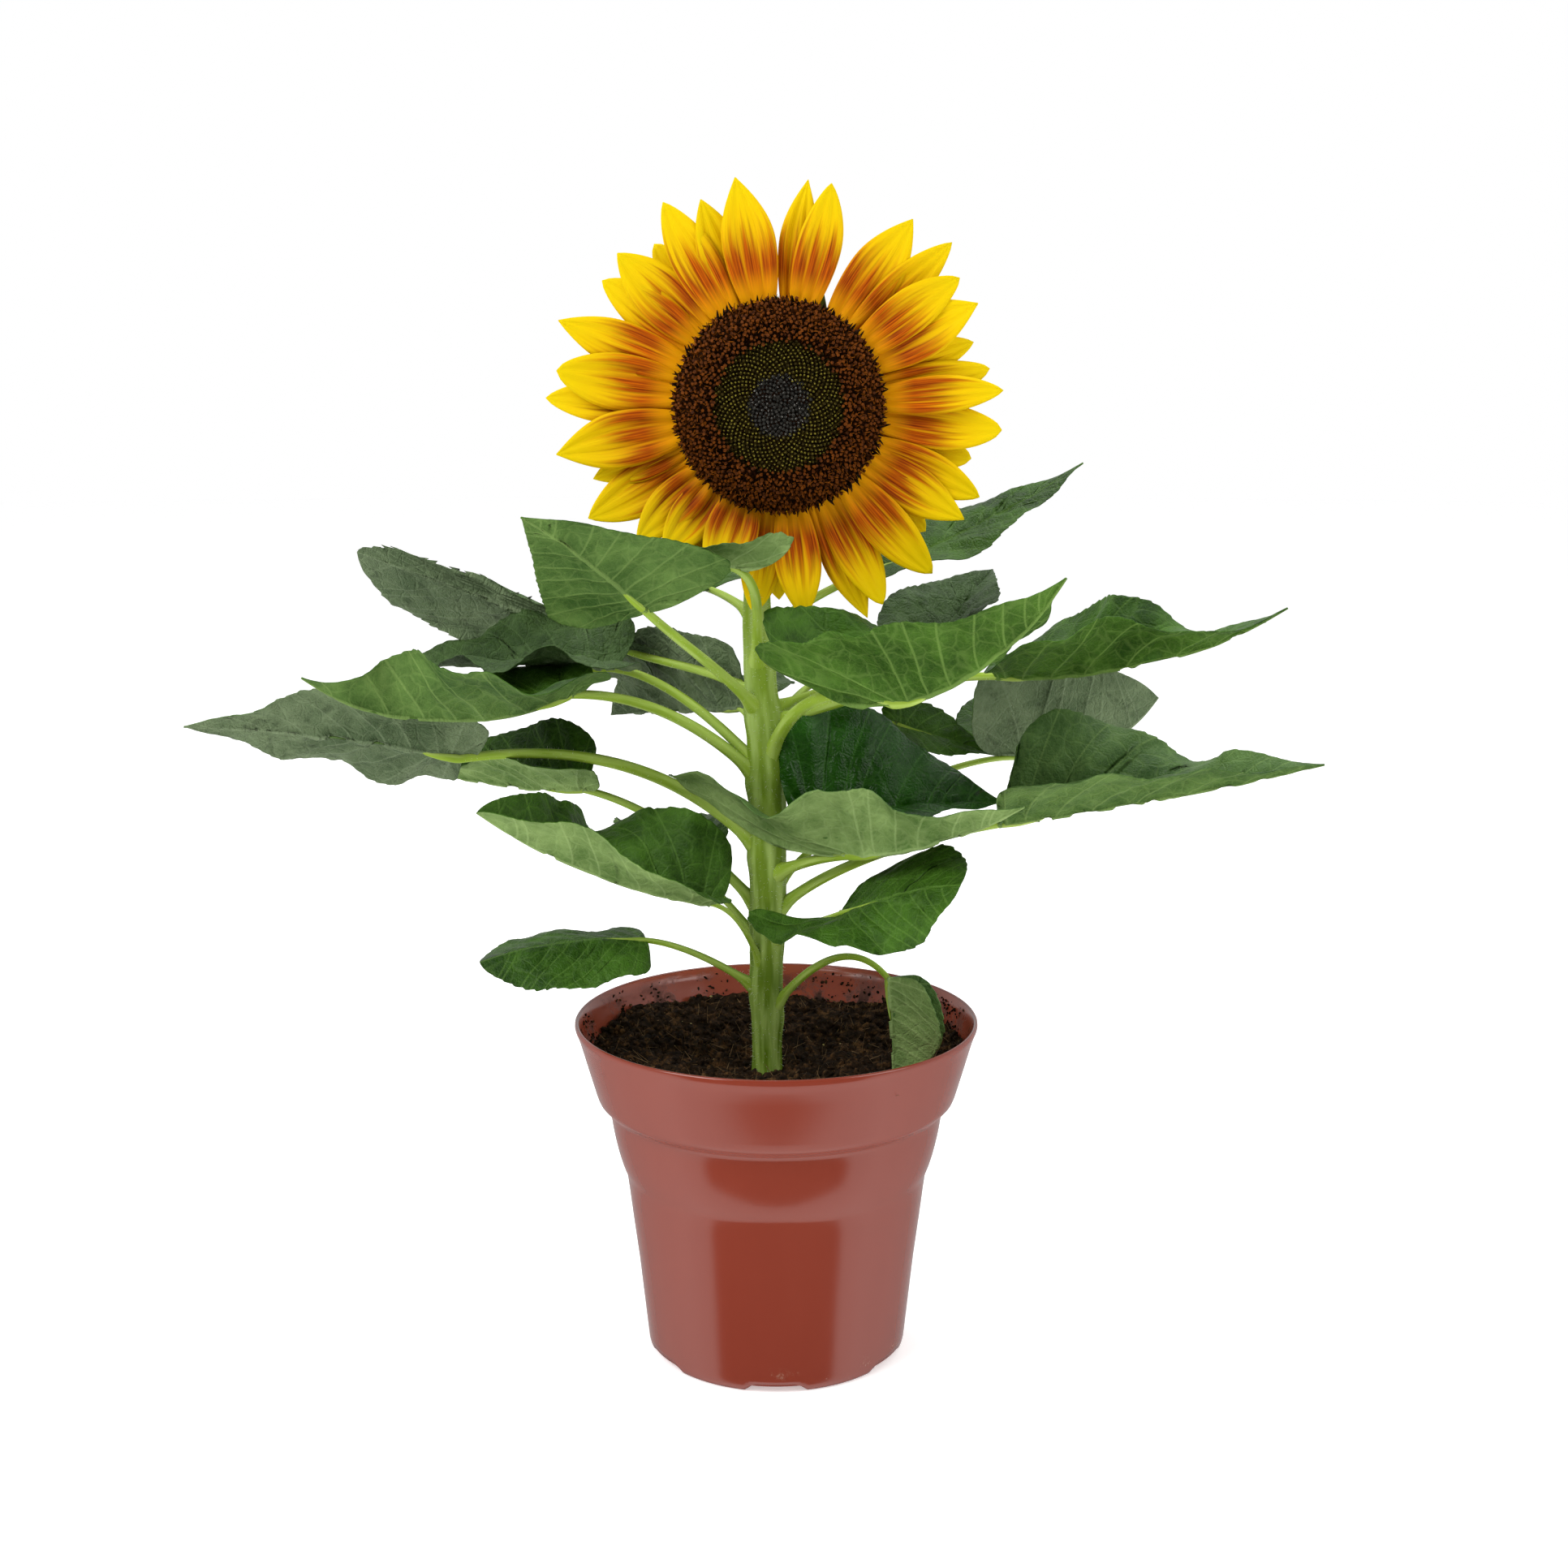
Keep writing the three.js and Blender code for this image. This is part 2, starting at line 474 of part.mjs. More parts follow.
function leafSolid(leaf, grow) {
  return blade(leaf, grow).add(stalk(leaf, grow));
}

// Flat pointed blade of the flower head: out along a turn about the head's axis, from root to reach.
function petalGrid(kind, turn, reach, width, rootY, tipY) {
  const angle = degToRad(turn);
  const out = new THREE.Vector3(Math.cos(angle), 0, Math.sin(angle));
  const across = new THREE.Vector3(-Math.sin(angle), 0, Math.cos(angle));
  const { root, waist, widest, rows } = kind;
  return rows.map((share) => {
    const rise = waist + (1 - waist) * Math.sin((Math.PI / 2) * Math.min(share / widest, 1));
    const past = Math.max((share - widest) / (1 - widest), 0);
    const fall = Math.cos((Math.PI / 2) * past) ** PETAL_ROUNDING;
    const half = Math.max(width * rise * fall, PETAL_TIP_WIDTH) / 2;
    const y = rootY + (tipY - rootY) * share ** PETAL_CURL_POWER;
    const middle = HEAD.clone().addScaledVector(out, root + (reach - root) * share).setY(y);
    return [1, 0, -1].map((side) => middle.clone().addScaledVector(across, side * half));
  });
}

// Round body of the flower head, from a closed profile of [radius, y].
function headBody(profile) {
  return solidOf(turned(profile, HEAD_SIDES)).translate([HEAD.x, 0, HEAD.z]);
}

function rayFlorets(grow) {
  let florets = headBody(RING_PROFILE.concat([RING_PROFILE[0]]));
  const add = ([turn, reach, width, forward], y) => {
    const grid = petalGrid(PETAL, turn, reach + grow, width + 2 * grow, y, y - forward);
    florets = florets.add(solidOf(sheet(grid, PETAL.thick + 2 * grow)));
  };
  FRONT_PETALS.forEach((petal, i) => add(petal, PETAL.layersY[i % 2]));
  BACK_PETALS.forEach((petal) => add(petal, PETAL.layersY[2]));
  return florets;
}

function flowerBack() {
  let back = headBody(CUP_PROFILE);
  for (let k = 0; k < BRACTS; k += 1) {
    const turn = (360 * (k + 0.5)) / BRACTS;
    const grid = petalGrid(BRACT, turn, BRACT.root + BRACT.length, BRACT.width, BRACT.rootY, BRACT.tipY);
    back = back.add(solidOf(sheet(grid, BRACT.thick)));
  }
  return back;
}

const plant = new THREE.Group();
plant.add(meshOf('pot', pot(), MATERIALS.pot));
plant.add(meshOf('soil', soil(), MATERIALS.soil));
plant.add(meshOf('stem', stem(0), MATERIALS.stem));
plant.add(meshOf('flower_back', flowerBack(), MATERIALS.leaf));
plant.add(meshOf('ray_florets', rayFlorets(0), MATERIALS.petal));
plant.add(meshOf('disc_florets', headBody(DISC_PROFILE), MATERIALS.disc));

// Each leaf is cut clear of the stem, of the ray florets and of the leaves below it.
const cleared = [stem(GAP), rayFlorets(GAP)];
LEAVES.forEach((entry) => {
  const leaf = { ...LEAF_SHAPE, ...entry };
  const free = cleared.reduce((solid, neighbour) => solid.subtract(neighbour), leafSolid(leaf, 0));
  plant.add(meshOf(leaf.name, largest(free), MATERIALS.leaf));
  cleared.push(leafSolid(leaf, GAP).add(leafSolid(leaf, 0)));
});

export default plant;
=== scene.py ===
# A young sunflower in a nursery pot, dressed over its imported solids: pot, soil, ribbed stem,
# heart-shaped leaves on long stalks and one flower head that faces the front. Sizes are in
# millimetres, and every mesh is written in metres.

import math

import bpy
import numpy as np
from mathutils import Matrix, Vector


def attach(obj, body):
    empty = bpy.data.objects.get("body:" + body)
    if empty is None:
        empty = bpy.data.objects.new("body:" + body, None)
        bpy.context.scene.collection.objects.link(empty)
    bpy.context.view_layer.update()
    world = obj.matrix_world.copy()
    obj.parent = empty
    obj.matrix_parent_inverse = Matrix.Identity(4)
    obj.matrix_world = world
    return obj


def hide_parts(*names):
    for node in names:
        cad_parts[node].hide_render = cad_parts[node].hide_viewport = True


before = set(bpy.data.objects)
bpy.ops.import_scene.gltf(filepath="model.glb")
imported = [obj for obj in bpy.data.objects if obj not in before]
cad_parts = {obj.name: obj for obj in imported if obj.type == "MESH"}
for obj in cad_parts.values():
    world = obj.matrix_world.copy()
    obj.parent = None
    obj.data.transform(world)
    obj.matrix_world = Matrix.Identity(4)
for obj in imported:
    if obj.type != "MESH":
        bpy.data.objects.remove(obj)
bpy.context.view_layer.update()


# Studio: the photograph's camera, 65 cm in front of the pot's axis and a little above the middle
# of the plant, a pale floor, and a white tent of soft light that is dimmer on the camera's side.
FRAME_PIXELS = 1932
FOCAL_PIXELS = 2567
camera_data = bpy.data.cameras.new("camera")
camera_data.sensor_width = 36
camera_data.lens = 36 * FOCAL_PIXELS / FRAME_PIXELS
camera_data.clip_start = 0.01
camera = bpy.data.objects.new("camera", camera_data)
camera.location = (0.0025, -0.650, 0.307)
camera.rotation_euler = (math.radians(90 - 10.5), 0, 0)
bpy.context.scene.collection.objects.link(camera)
bpy.context.scene.camera = camera
bpy.context.scene.view_settings.view_transform = "Standard"


def linear(colour):
    """An sRGB hex colour as linear red, green, blue and 1."""
    parts = [int(colour[i : i + 2], 16) / 255 for i in (1, 3, 5)]
    return [p / 12.92 if p <= 0.04045 else ((p + 0.055) / 1.055) ** 2.4 for p in parts] + [1]


def wire(node, *inputs):
    """Sets or links a node's inputs, given in their order, or by name or number in a dictionary.
    Another node stands for its first live output."""
    for place, one in enumerate(inputs):
        for key, value in (one if isinstance(one, dict) else {place: one}).items():
            if isinstance(value, bpy.types.Node):
                value = next(socket for socket in value.outputs if socket.enabled)
            if isinstance(value, bpy.types.NodeSocket):
                node.id_data.links.new(value, node.inputs[key])
            else:
                node.inputs[key].default_value = value
    return node


def add(tree, kind, *inputs, **settings):
    """Adds a node with its settings and inputs. A kind without Node in its name is a shader node."""
    new = tree.nodes.new(kind if "Node" in kind else "ShaderNode" + kind)
    for name, value in settings.items():
        setattr(new, name, value)
    return wire(new, *inputs)


world = bpy.data.worlds.new("light tent")
world.use_nodes = True
bpy.context.scene.world = world
tent = world.node_tree
tent.nodes.clear()
way = add(tent, "SeparateXYZ", add(tent, "TexCoord").outputs["Generated"])
above = add(tent, "MapRange", way.outputs["Z"], -0.2, 0.9, 0.4, 0.68)
ray = add(tent, "LightPath")
# What shiny skins mirror: a dark room behind the camera, low down between two bright side walls.
level = add(tent, "CombineXYZ", way.outputs["X"], way.outputs["Y"])
turned = add(tent, "SeparateXYZ", add(tent, "VectorMath", level, operation="NORMALIZE"))
steep = add(tent, "MapRange", way.outputs["Z"], -0.67, -1.0, 0.0, 1.0)
near_room = add(tent, "Math", turned.outputs["Y"], steep, operation="ADD")
front = add(tent, "MapRange", near_room, -0.64, -0.52, 0.12, 1.5, interpolation_type="SMOOTHSTEP")
back = add(tent, "MapRange", turned.outputs["Y"], -0.2, 0.7, 1.5, 0.5)
around = add(tent, "Math", front, back, operation="MINIMUM")
high = add(tent, "MapRange", way.outputs["Y"], -0.85, 0.0, 0.1, 0.8, interpolation_type="SMOOTHSTEP")
upward = add(tent, "MapRange", way.outputs["Z"], -0.3, 0.1)
glossy = add(tent, "Mix", upward, {2: around, 3: high})
strength = add(tent, "Mix", ray.outputs["Is Glossy Ray"], {2: above, 3: glossy})
seen = add(tent, "Mix", ray.outputs["Is Camera Ray"], {2: strength, 3: 1.0})
light = add(tent, "Background", {"Color": (1, 1, 1, 1), "Strength": seen})
add(tent, "OutputWorld", light)


def soft_box(name, place, aim, side, watts):
    """A square area light that looks at a point."""
    lamp = bpy.data.lights.new(name, "AREA")
    lamp.size = side
    lamp.energy = watts
    box = bpy.data.objects.new(name, lamp)
    box.location = place
    box.rotation_euler = (Vector(aim) - Vector(place)).to_track_quat("-Z", "Y").to_euler()
    bpy.context.scene.collection.objects.link(box)


soft_box("soft box left", (-0.9, -0.7, 1.1), (0, 0, 0.2), 0.8, 14)
soft_box("soft box right", (1.0, -0.5, 0.8), (0, 0, 0.2), 0.7, 5)
soft_box("soft box above", (0.1, 0.35, 1.3), (0, 0, 0.2), 0.9, 8)


def surface(name, **inputs):
    """A new material with one Principled shader, as (material, tree, shader). An input's name has _
    for each space."""
    material = bpy.data.materials.new(name)
    material.use_nodes = True
    tree = material.node_tree
    named = {key.replace("_", " "): value for key, value in inputs.items()}
    return material, tree, wire(tree.nodes["Principled BSDF"], named)


# White acrylic table, lit a little from below, so that it runs into the tent without an edge.
acrylic = surface("white lit acrylic", Base_Color=linear("#F7F7F7"), Roughness=0.9,
                  Emission_Color=(1, 1, 1, 1), Emission_Strength=0.42)[0]
FLOOR_RADIUS = 6000
FLOOR_SIDES = 64


def once_round(count):
    """Evenly spaced angles, once round a circle."""
    return np.linspace(0, 2 * math.pi, count, endpoint=False)


floor_ring = [(0.001 * FLOOR_RADIUS * math.cos(t), 0.001 * FLOOR_RADIUS * math.sin(t), -0.0002)
              for t in once_round(FLOOR_SIDES)]
floor_mesh = bpy.data.meshes.new("floor")
floor_mesh.from_pydata(floor_ring, [], [list(range(FLOOR_SIDES))])
floor_mesh.materials.append(acrylic)
floor = bpy.data.objects.new("floor", floor_mesh)
bpy.context.scene.collection.objects.link(floor)
floor.visible_glossy = False


# Pot: a thin injection-moulded polypropylene grower's pot, terracotta red, with a deep collar,
# a groove under the collar, a rim bead, and drain notches cut into the edge of its foot.
POT_HEIGHT = 110
POT_FLOOR = 3
POT_THIN = 1.1
POT_FOOT = [[0.5, 1.6], [20, 1.6], [38.4, 1.6], [39.3, 1.3], [39.8, 0.4], [40.2, 0]]
POT_OUTSIDE = [
    [0, 41.1], [0.5, 41.6], [1.2, 42.0], [2.2, 42.25], [4, 42.45], [12, 43.3], [30, 45.2], [44, 47.0],
    [54, 48.2], [58.5, 48.8], [60, 49.2], [61.5, 49.8], [63, 50.35], [66, 51.25], [69, 52.0],
    [72, 52.65], [75, 53.2], [78, 53.65], [80.7, 54.05], [81.8, 54.35], [82.5, 54.9], [83.3, 55.9],
    [84.1, 57.0], [84.9, 57.7], [86.2, 58.25], [88, 58.8], [92, 59.95], [96, 61.1], [101, 62.5],
    [105, 63.65], [107, 64.35], [108, 64.8], [108.8, 65.0], [109.5, 64.95], [POT_HEIGHT, 64.6],
]
POT_TURNS = 180
NOTCHES = 6
NOTCH_HALF_ANGLE = math.radians(12.5)
NOTCH_SLOPE = math.radians(1.2)
NOTCH_HEIGHT = 2.2
NOTCH_INSIDE = 38.5
FOOT_ROWS = 12


def piece_of(name, points, faces, materials, corners=None, slots=None, notes=None, smooth=True):
    """A mesh object from points in mm: corners are UV places by face corner, notes float values by
    point, slots the material of each face."""
    mesh = bpy.data.meshes.new(name)
    mesh.from_pydata((np.asarray(points, float) * 0.001).tolist(), [], [list(f) for f in faces])
    for material in materials:
        mesh.materials.append(material)
    if corners is not None:
        mesh.uv_layers.new(name="along").data.foreach_set("uv", np.asarray(corners, float).ravel())
    for key, values in (notes or {}).items():
        mesh.attributes.new(key, "FLOAT", "POINT").data.foreach_set("value", np.asarray(values, float))
    if slots is not None:
        mesh.polygons.foreach_set("material_index", np.asarray(slots, int))
    mesh.polygons.foreach_set("use_smooth", np.full(len(mesh.polygons), smooth))
    mesh.update()
    piece = bpy.data.objects.new(name, mesh)
    bpy.context.scene.collection.objects.link(piece)
    return piece


def hold(piece, slot, *nodes):
    """Every piece rides with the pot and may stand for solids, which it hides. slot is not used."""
    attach(piece, "root")
    if nodes:
        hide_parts(*nodes)


def strips(rows, columns, closed=False):
    """Quads between neighbouring rows of a grid of points."""
    wide = columns if closed else columns - 1
    i, j = np.meshgrid(np.arange(rows - 1), np.arange(wide), indexing="ij")
    left = i * columns + j
    right = i * columns + (j + 1) % columns
    return np.stack([left, right, right + columns, left + columns], -1).reshape(-1, 4)


def turned_faces(rows, turns):
    """Faces of a profile turned once round, with both its ends closed."""
    last = (rows - 1) * turns
    caps = [list(range(turns))[::-1], list(range(last, last + turns))]
    return strips(rows, turns, closed=True).tolist() + caps


def polypropylene(name, tones, dirt_below, dirt_above, dirt_tone, dirt_least):
    """Satin moulded plastic: two tones in faint flow marks, and dirt in patches that thicken from one
    height to another. dirt_least is how much of the patches' noise stays clean."""
    material, tree, skin = surface(name)
    place = add(tree, "TexCoord").outputs["Object"]
    drawn = add(tree, "Mapping", place, {"Scale": (60, 60, 14)})
    flow = add(tree, "TexNoise", {"Vector": drawn, "Scale": 1, "Detail": 4})
    red = add(tree, "Mix", flow, {6: linear(tones[0]), 7: linear(tones[1])}, data_type="RGBA")
    height = add(tree, "SeparateXYZ", place)
    low = add(tree, "MapRange", height.outputs["Z"], dirt_above, dirt_below)
    smear = add(tree, "TexNoise", {"Vector": place, "Scale": 75, "Detail": 9, "Roughness": 0.75})
    caked = add(tree, "MapRange", smear, dirt_least, dirt_least + 0.07)
    dirty = add(tree, "Math", low, caked, operation="MULTIPLY")
    finish = add(tree, "Mix", dirty, {6: red, 7: linear(dirt_tone)}, data_type="RGBA")
    gloss = add(tree, "MapRange", dirty, {3: 0.16, 4: 0.8})
    ripple = add(tree, "Bump", {"Height": flow, "Strength": 0.1, "Distance": 0.0006})
    wire(skin, {"Base Color": finish, "Roughness": gloss, "IOR": 1.5, "Normal": ripple})
    return material


# Terracotta red polypropylene: outside a smooth skin with pale soil dust at the foot; inside, a
# brighter red paints the glow of light through the thin wall, and wet soil clings to it in patches.
terracotta = polypropylene(
    "moulded terracotta polypropylene", ("#782D1C", "#7F3423"), 0.0, 0.009, "#9C7A60", 0.6)
# Inside: the same red made brighter, a painted glow of light through the thin wall.
glow_painted_terracotta = polypropylene(
    "terracotta polypropylene with painted glow", ("#A04A36", "#AC5542"), 0.098, 0.111, "#2E1A0E", 0.5)

outside = np.array(POT_OUTSIDE)[:, ::-1]
inside_z = np.array([POT_HEIGHT - 0.3, 106, 103, 95, 86, 81, 74, 66, 57, 44, 30, 12, POT_FLOOR + 1.5])
inside_r = np.interp(inside_z, outside[:, 1], outside[:, 0]) - POT_THIN
profile = np.vstack([
    POT_FOOT, outside, [[64.3, POT_HEIGHT]], np.column_stack([inside_r, inside_z]),
    [[40.3, POT_FLOOR + 0.3], [39, POT_FLOOR], [20, POT_FLOOR], [0.5, POT_FLOOR]],
])
turn = once_round(POT_TURNS)
r, z = profile[:, 0][:, None], profile[:, 1][:, None] + 0 * turn
apart = math.pi / NOTCHES
from_notch = np.abs((turn + math.pi / 2 + apart) % (2 * apart) - apart)
cut = np.clip((NOTCH_HALF_ANGLE - from_notch) / NOTCH_SLOPE, 0, 1)
foot = (np.arange(len(profile)) < FOOT_ROWS)[:, None] & (z < NOTCH_HEIGHT) & (r > NOTCH_INSIDE)
z = np.where(foot, z + (NOTCH_HEIGHT - z) * cut, z)
pot_points = np.stack([r * np.cos(turn), r * np.sin(turn), z], -1)
pot_faces = [face[::-1] for face in turned_faces(len(profile), POT_TURNS)]
# Faces inside the wall take the brighter red with its painted glow.
on_inside = (np.arange(len(pot_faces)) // POT_TURNS > len(POT_FOOT) + len(outside)).astype(int)
pot = piece_of("pot_shell", pot_points.reshape(-1, 3), pot_faces, [terracotta, glow_painted_terracotta],
               slots=on_inside)
hold(pot, "pot", "pot")


# Soil: moist dark peat, level round the stem and banked up unevenly to the wall, with loose
# crumbs and pale fibres on it, and crumbs that cling to the wall above it.
SOIL_LEVEL = 92
SOIL_PAD = 9
SOIL_BANK = 8
SOIL_BUMP = 1.3
SOIL_EDGE = 97


def ripples(places, sizes, count, seed):
    """Smooth random relief between about -1 and 1, from waves of the given lengths in mm."""
    dice = np.random.default_rng(seed)
    total = np.zeros(places.shape[:-1])
    for size in sizes:
        for _ in range(count):
            way_out = dice.normal(size=places.shape[-1])
            way_out /= np.linalg.norm(way_out)
            wave = 2 * math.pi / (size * dice.uniform(0.7, 1.4))
            total += np.sin(places @ way_out * wave + dice.uniform(0, 2 * math.pi))
    return total / math.sqrt(2 * len(sizes) * count) / 1.4


# Moist peat: near black with brown crumbs, rough all over, with grains down to 0.3 mm.
peat, peat_tree, peat_skin = surface("moist peat")
peat_place = add(peat_tree, "TexCoord").outputs["Object"]
clod = add(peat_tree, "TexNoise", {"Vector": peat_place, "Scale": 260, "Detail": 8, "Roughness": 0.75})
peat_tones = add(peat_tree, "ValToRGB", clod)
for stop, tone in zip((0.36, 0.52, 0.66), ("#0A0704", "#2A1D11", "#634629")):
    peat_tones.color_ramp.elements.new(stop).color = linear(tone)
peat_tones.color_ramp.elements.remove(peat_tones.color_ramp.elements[0])
peat_tones.color_ramp.elements[-1].color = linear("#7A5A34")
rough = add(peat_tree, "Bump", {"Height": clod, "Strength": 0.8, "Distance": 0.0012})
wire(peat_skin, {"Base Color": peat_tones, "Roughness": 0.92, "Specular IOR Level": 0.1, "Normal": rough})
fibre = surface("dry peat fibre", Base_Color=linear("#6B5230"), Roughness=0.8)[0]
grit = surface("pale grit", Base_Color=linear("#B3A26A"), Roughness=0.7)[0]

SOIL_TURNS = 240
SOIL_RINGS = 64
wall_at_edge = float(np.interp(SOIL_EDGE, outside[:, 1], outside[:, 0])) - POT_THIN
spokes = once_round(SOIL_TURNS)[None, :]
reach = (np.linspace(0.02, 1, SOIL_RINGS) ** 0.8)[:, None] * wall_at_edge
share = reach / wall_at_edge
top = SOIL_LEVEL + SOIL_BANK * share ** 1.6 * (reach > SOIL_PAD)
wavy = np.sin(3 * spokes + reach / 7) + 0.7 * np.sin(7 * spokes - reach / 4)
top = top + SOIL_BUMP * wavy * np.clip((reach - SOIL_PAD) / 10, 0, 1)
flat = np.stack([reach * np.sin(spokes), -reach * np.cos(spokes), 0 * top], -1)
top = top + 1.1 * ripples(flat, (9, 5), 6, 1) + 0.55 * ripples(flat, (2.6, 1.6), 8, 2)
top_points = flat + np.stack([0 * top, 0 * top, top], -1)
SKIRT = np.array([87, 84, 81, 72])
skirt_wall = np.interp(SKIRT, outside[:, 1], outside[:, 0]) - POT_THIN
skirt = top_points[-1] * [1, 1, 0] * (skirt_wall / wall_at_edge)[:, None, None]
skirt = skirt + SKIRT[:, None, None] * [0, 0, 1]
soil_points = np.vstack([
    top_points.reshape(-1, 3), skirt.reshape(-1, 3), [[0, 0, SOIL_LEVEL]], [[0, 0, SKIRT[-1]]]])
soil_faces = strips(SOIL_RINGS + len(SKIRT), SOIL_TURNS, closed=True)[:, ::-1].tolist()
hub, root = len(soil_points) - 2, len(soil_points) - 1
low_ring = (SOIL_RINGS + len(SKIRT) - 1) * SOIL_TURNS
for k in range(SOIL_TURNS):
    after = (k + 1) % SOIL_TURNS
    soil_faces += [[hub, k, after], [root, low_ring + after, low_ring + k]]
soil = piece_of("soil_bed", soil_points, soil_faces, [peat])
hold(soil, "soil", "soil")


def baked(piece, tree, **sizes):
    """Runs a node tree on a piece with its named inputs set, and keeps the result as its mesh."""
    modifier = piece.modifiers.new("growth", "NODES")
    modifier.node_group = tree
    sockets = {
        item.name: item.identifier for item in tree.interface.items_tree if item.in_out == "INPUT"}
    for key, value in sizes.items():
        modifier[sockets[key.replace("_", " ")]] = value
    seen_by = bpy.context.evaluated_depsgraph_get()
    result = bpy.data.meshes.new_from_object(piece.evaluated_get(seen_by))
    piece.modifiers.clear()
    piece.data = result
    piece.data.name = piece.name
    return piece


def new_tree(name, **sizes):
    """An empty geometry tree with a mesh in, a mesh out and named sizes, as (tree, inputs)."""
    tree = bpy.data.node_groups.new(name, "GeometryNodeTree")
    tree.interface.new_socket("Geometry", in_out="INPUT", socket_type="NodeSocketGeometry")
    tree.interface.new_socket("Geometry", in_out="OUTPUT", socket_type="NodeSocketGeometry")
    for key, value in sizes.items():
        kind = "NodeSocketInt" if isinstance(value, int) else "NodeSocketFloat"
        socket = tree.interface.new_socket(key.replace("_", " "), in_out="INPUT", socket_type=kind)
        socket.default_value = value
    return tree, add(tree, "NodeGroupInput")


def scatter_tree(name, shape, material, squash, lie, seed, rough_by=0.0):
    """Tree that strews copies of a small shape over faces, each turned and sized by chance."""
    tree, given = new_tree(name, Density=1.0, Smallest=0.0, Largest=0.0, Patches=0.0)
    put = add(tree, "GeometryNodeInputPosition")
    patch = add(tree, "TexNoise", {"Vector": put, "Scale": 70, "Detail": 2})
    open_to = add(tree, "Math", patch, given.outputs["Patches"], operation="GREATER_THAN")
    dense = add(tree, "Math", given.outputs["Density"], open_to, operation="MULTIPLY")
    dots = add(tree, "GeometryNodeDistributePointsOnFaces", {
        "Mesh": given.outputs["Geometry"], "Density": dense, "Seed": seed})
    tilt = add(tree, "FunctionNodeRandomValue", (-lie, -lie, 0), (lie, lie, 6.28), {"Seed": seed + 1},
               data_type="FLOAT_VECTOR")
    spun = add(tree, "FunctionNodeRotateRotation", dots.outputs["Rotation"], tilt,
               rotation_space="LOCAL")
    size = add(tree, "FunctionNodeRandomValue", {
        2: given.outputs["Smallest"], 3: given.outputs["Largest"], "Seed": seed + 2})
    uneven = add(tree, "FunctionNodeRandomValue", (0.7, 0.7, squash * 0.7), (1.3, 1.3, squash * 1.3),
                 {"Seed": seed + 3}, data_type="FLOAT_VECTOR")
    scale = add(tree, "VectorMath", uneven, {3: size}, operation="SCALE")
    form = add(tree, shape[0], shape[1])
    copies = add(tree, "GeometryNodeInstanceOnPoints", {
        "Points": dots, "Instance": form, "Rotation": spun, "Scale": scale})
    real = add(tree, "GeometryNodeRealizeInstances", copies)
    dent = add(tree, "TexNoise", {"Vector": put, "Scale": 1400, "Detail": 1})
    centred = add(tree, "VectorMath", dent.outputs["Color"], (0.5, 0.5, 0.5), operation="SUBTRACT")
    shift = add(tree, "VectorMath", centred, {3: rough_by}, operation="SCALE")
    bent = add(tree, "GeometryNodeSetPosition", real, {"Offset": shift})
    dressed = add(tree, "GeometryNodeSetMaterial", bent, {"Material": material})
    add(tree, "NodeGroupOutput", dressed)
    return tree


CRUMB = ("GeometryNodeMeshIcoSphere", {"Radius": 1.0, "Subdivisions": 1})
FIBRE = ("GeometryNodeMeshCone", {
    "Vertices": 3, "Radius Top": 0.012, "Radius Bottom": 0.03, "Depth": 1.0})
WALL_BAND = np.array([96, 108])
bed = (top_points, strips(SOIL_RINGS, SOIL_TURNS, closed=True)[:, ::-1])
band_z = WALL_BAND[:, None] + 0 * spokes
band_r = np.interp(band_z, outside[:, 1], outside[:, 0]) - POT_THIN - 0.25
band_points = np.stack([band_r * np.sin(spokes), -band_r * np.cos(spokes), band_z], -1)
band = (band_points, strips(2, SOIL_TURNS, closed=True))
for name, tree, (points, faces), density, smallest, largest, patches in (
    ("soil_crumbs", scatter_tree("strewn crumbs", CRUMB, peat, 0.75, 3.1, 11, 0.0012), bed,
     190000, 0.0004, 0.0021, 0.0),
    ("soil_grit", scatter_tree("strewn grit", CRUMB, grit, 0.6, 3.1, 31, 0.0004), bed,
     9000, 0.00015, 0.0005, 0.5),
    ("soil_fibres", scatter_tree("strewn fibres", FIBRE, fibre, 1.0, 1.5, 51), bed,
     42000, 0.002, 0.0055, 0.0),
    ("wall_crumbs", scatter_tree("clinging crumbs", CRUMB, peat, 0.5, 3.1, 71, 0.0006), band,
     420000, 0.00015, 0.0008, 0.53),
):
    strewn = piece_of(name, points.reshape(-1, 3), faces, [])
    strewn = baked(strewn, tree, Density=density, Smallest=smallest, Largest=largest, Patches=patches)
    hold(strewn, "soil")


# Stem: one round green stem, swollen where each leaf leaves it, finely ribbed, thinner at the
# bent neck, where it turns forward into the back of the flower head.
STEM_STATIONS = np.array([
    [-3, 0, 88, 5.3], [-3, 0, 100, 4.7], [-3, 0, 135, 4.9], [-2.8, 0, 168, 5.6],
    [-3.2, 0, 195, 5.3], [-5, 1.5, 222, 4.8], [-6, 7, 246, 4.1], [-5, 13.5, 270, 3.9],
    [-2, 14, 290, 4], [0.6, 10, 302, 4.3], [1, 5.5, 304.5, 4.8], [1, 0, 304.5, 5],
])
STEM_STEPS = 260
STEM_SIDES = 44
RIBS = 11


def spline(stations, share):
    """Smooth curve through stations, at shares of its length in stations."""
    last = len(stations) - 1
    place = np.clip(share, 0, 1) * last
    i = np.minimum(place.astype(int), last - 1)
    t = (place - i)[:, None]
    before, start, end, after = (stations[np.clip(i + k, 0, last)] for k in (-1, 0, 1, 2))
    bend = 2 * before - 5 * start + 4 * end - after
    twist = 3 * (start - end) + after - before
    return start + 0.5 * t * (end - before + t * (bend + t * twist))


def gone_along(points):
    """Distance gone at each point of a line."""
    return np.concatenate([[0], np.cumsum(np.linalg.norm(np.diff(points, axis=0), axis=1))])


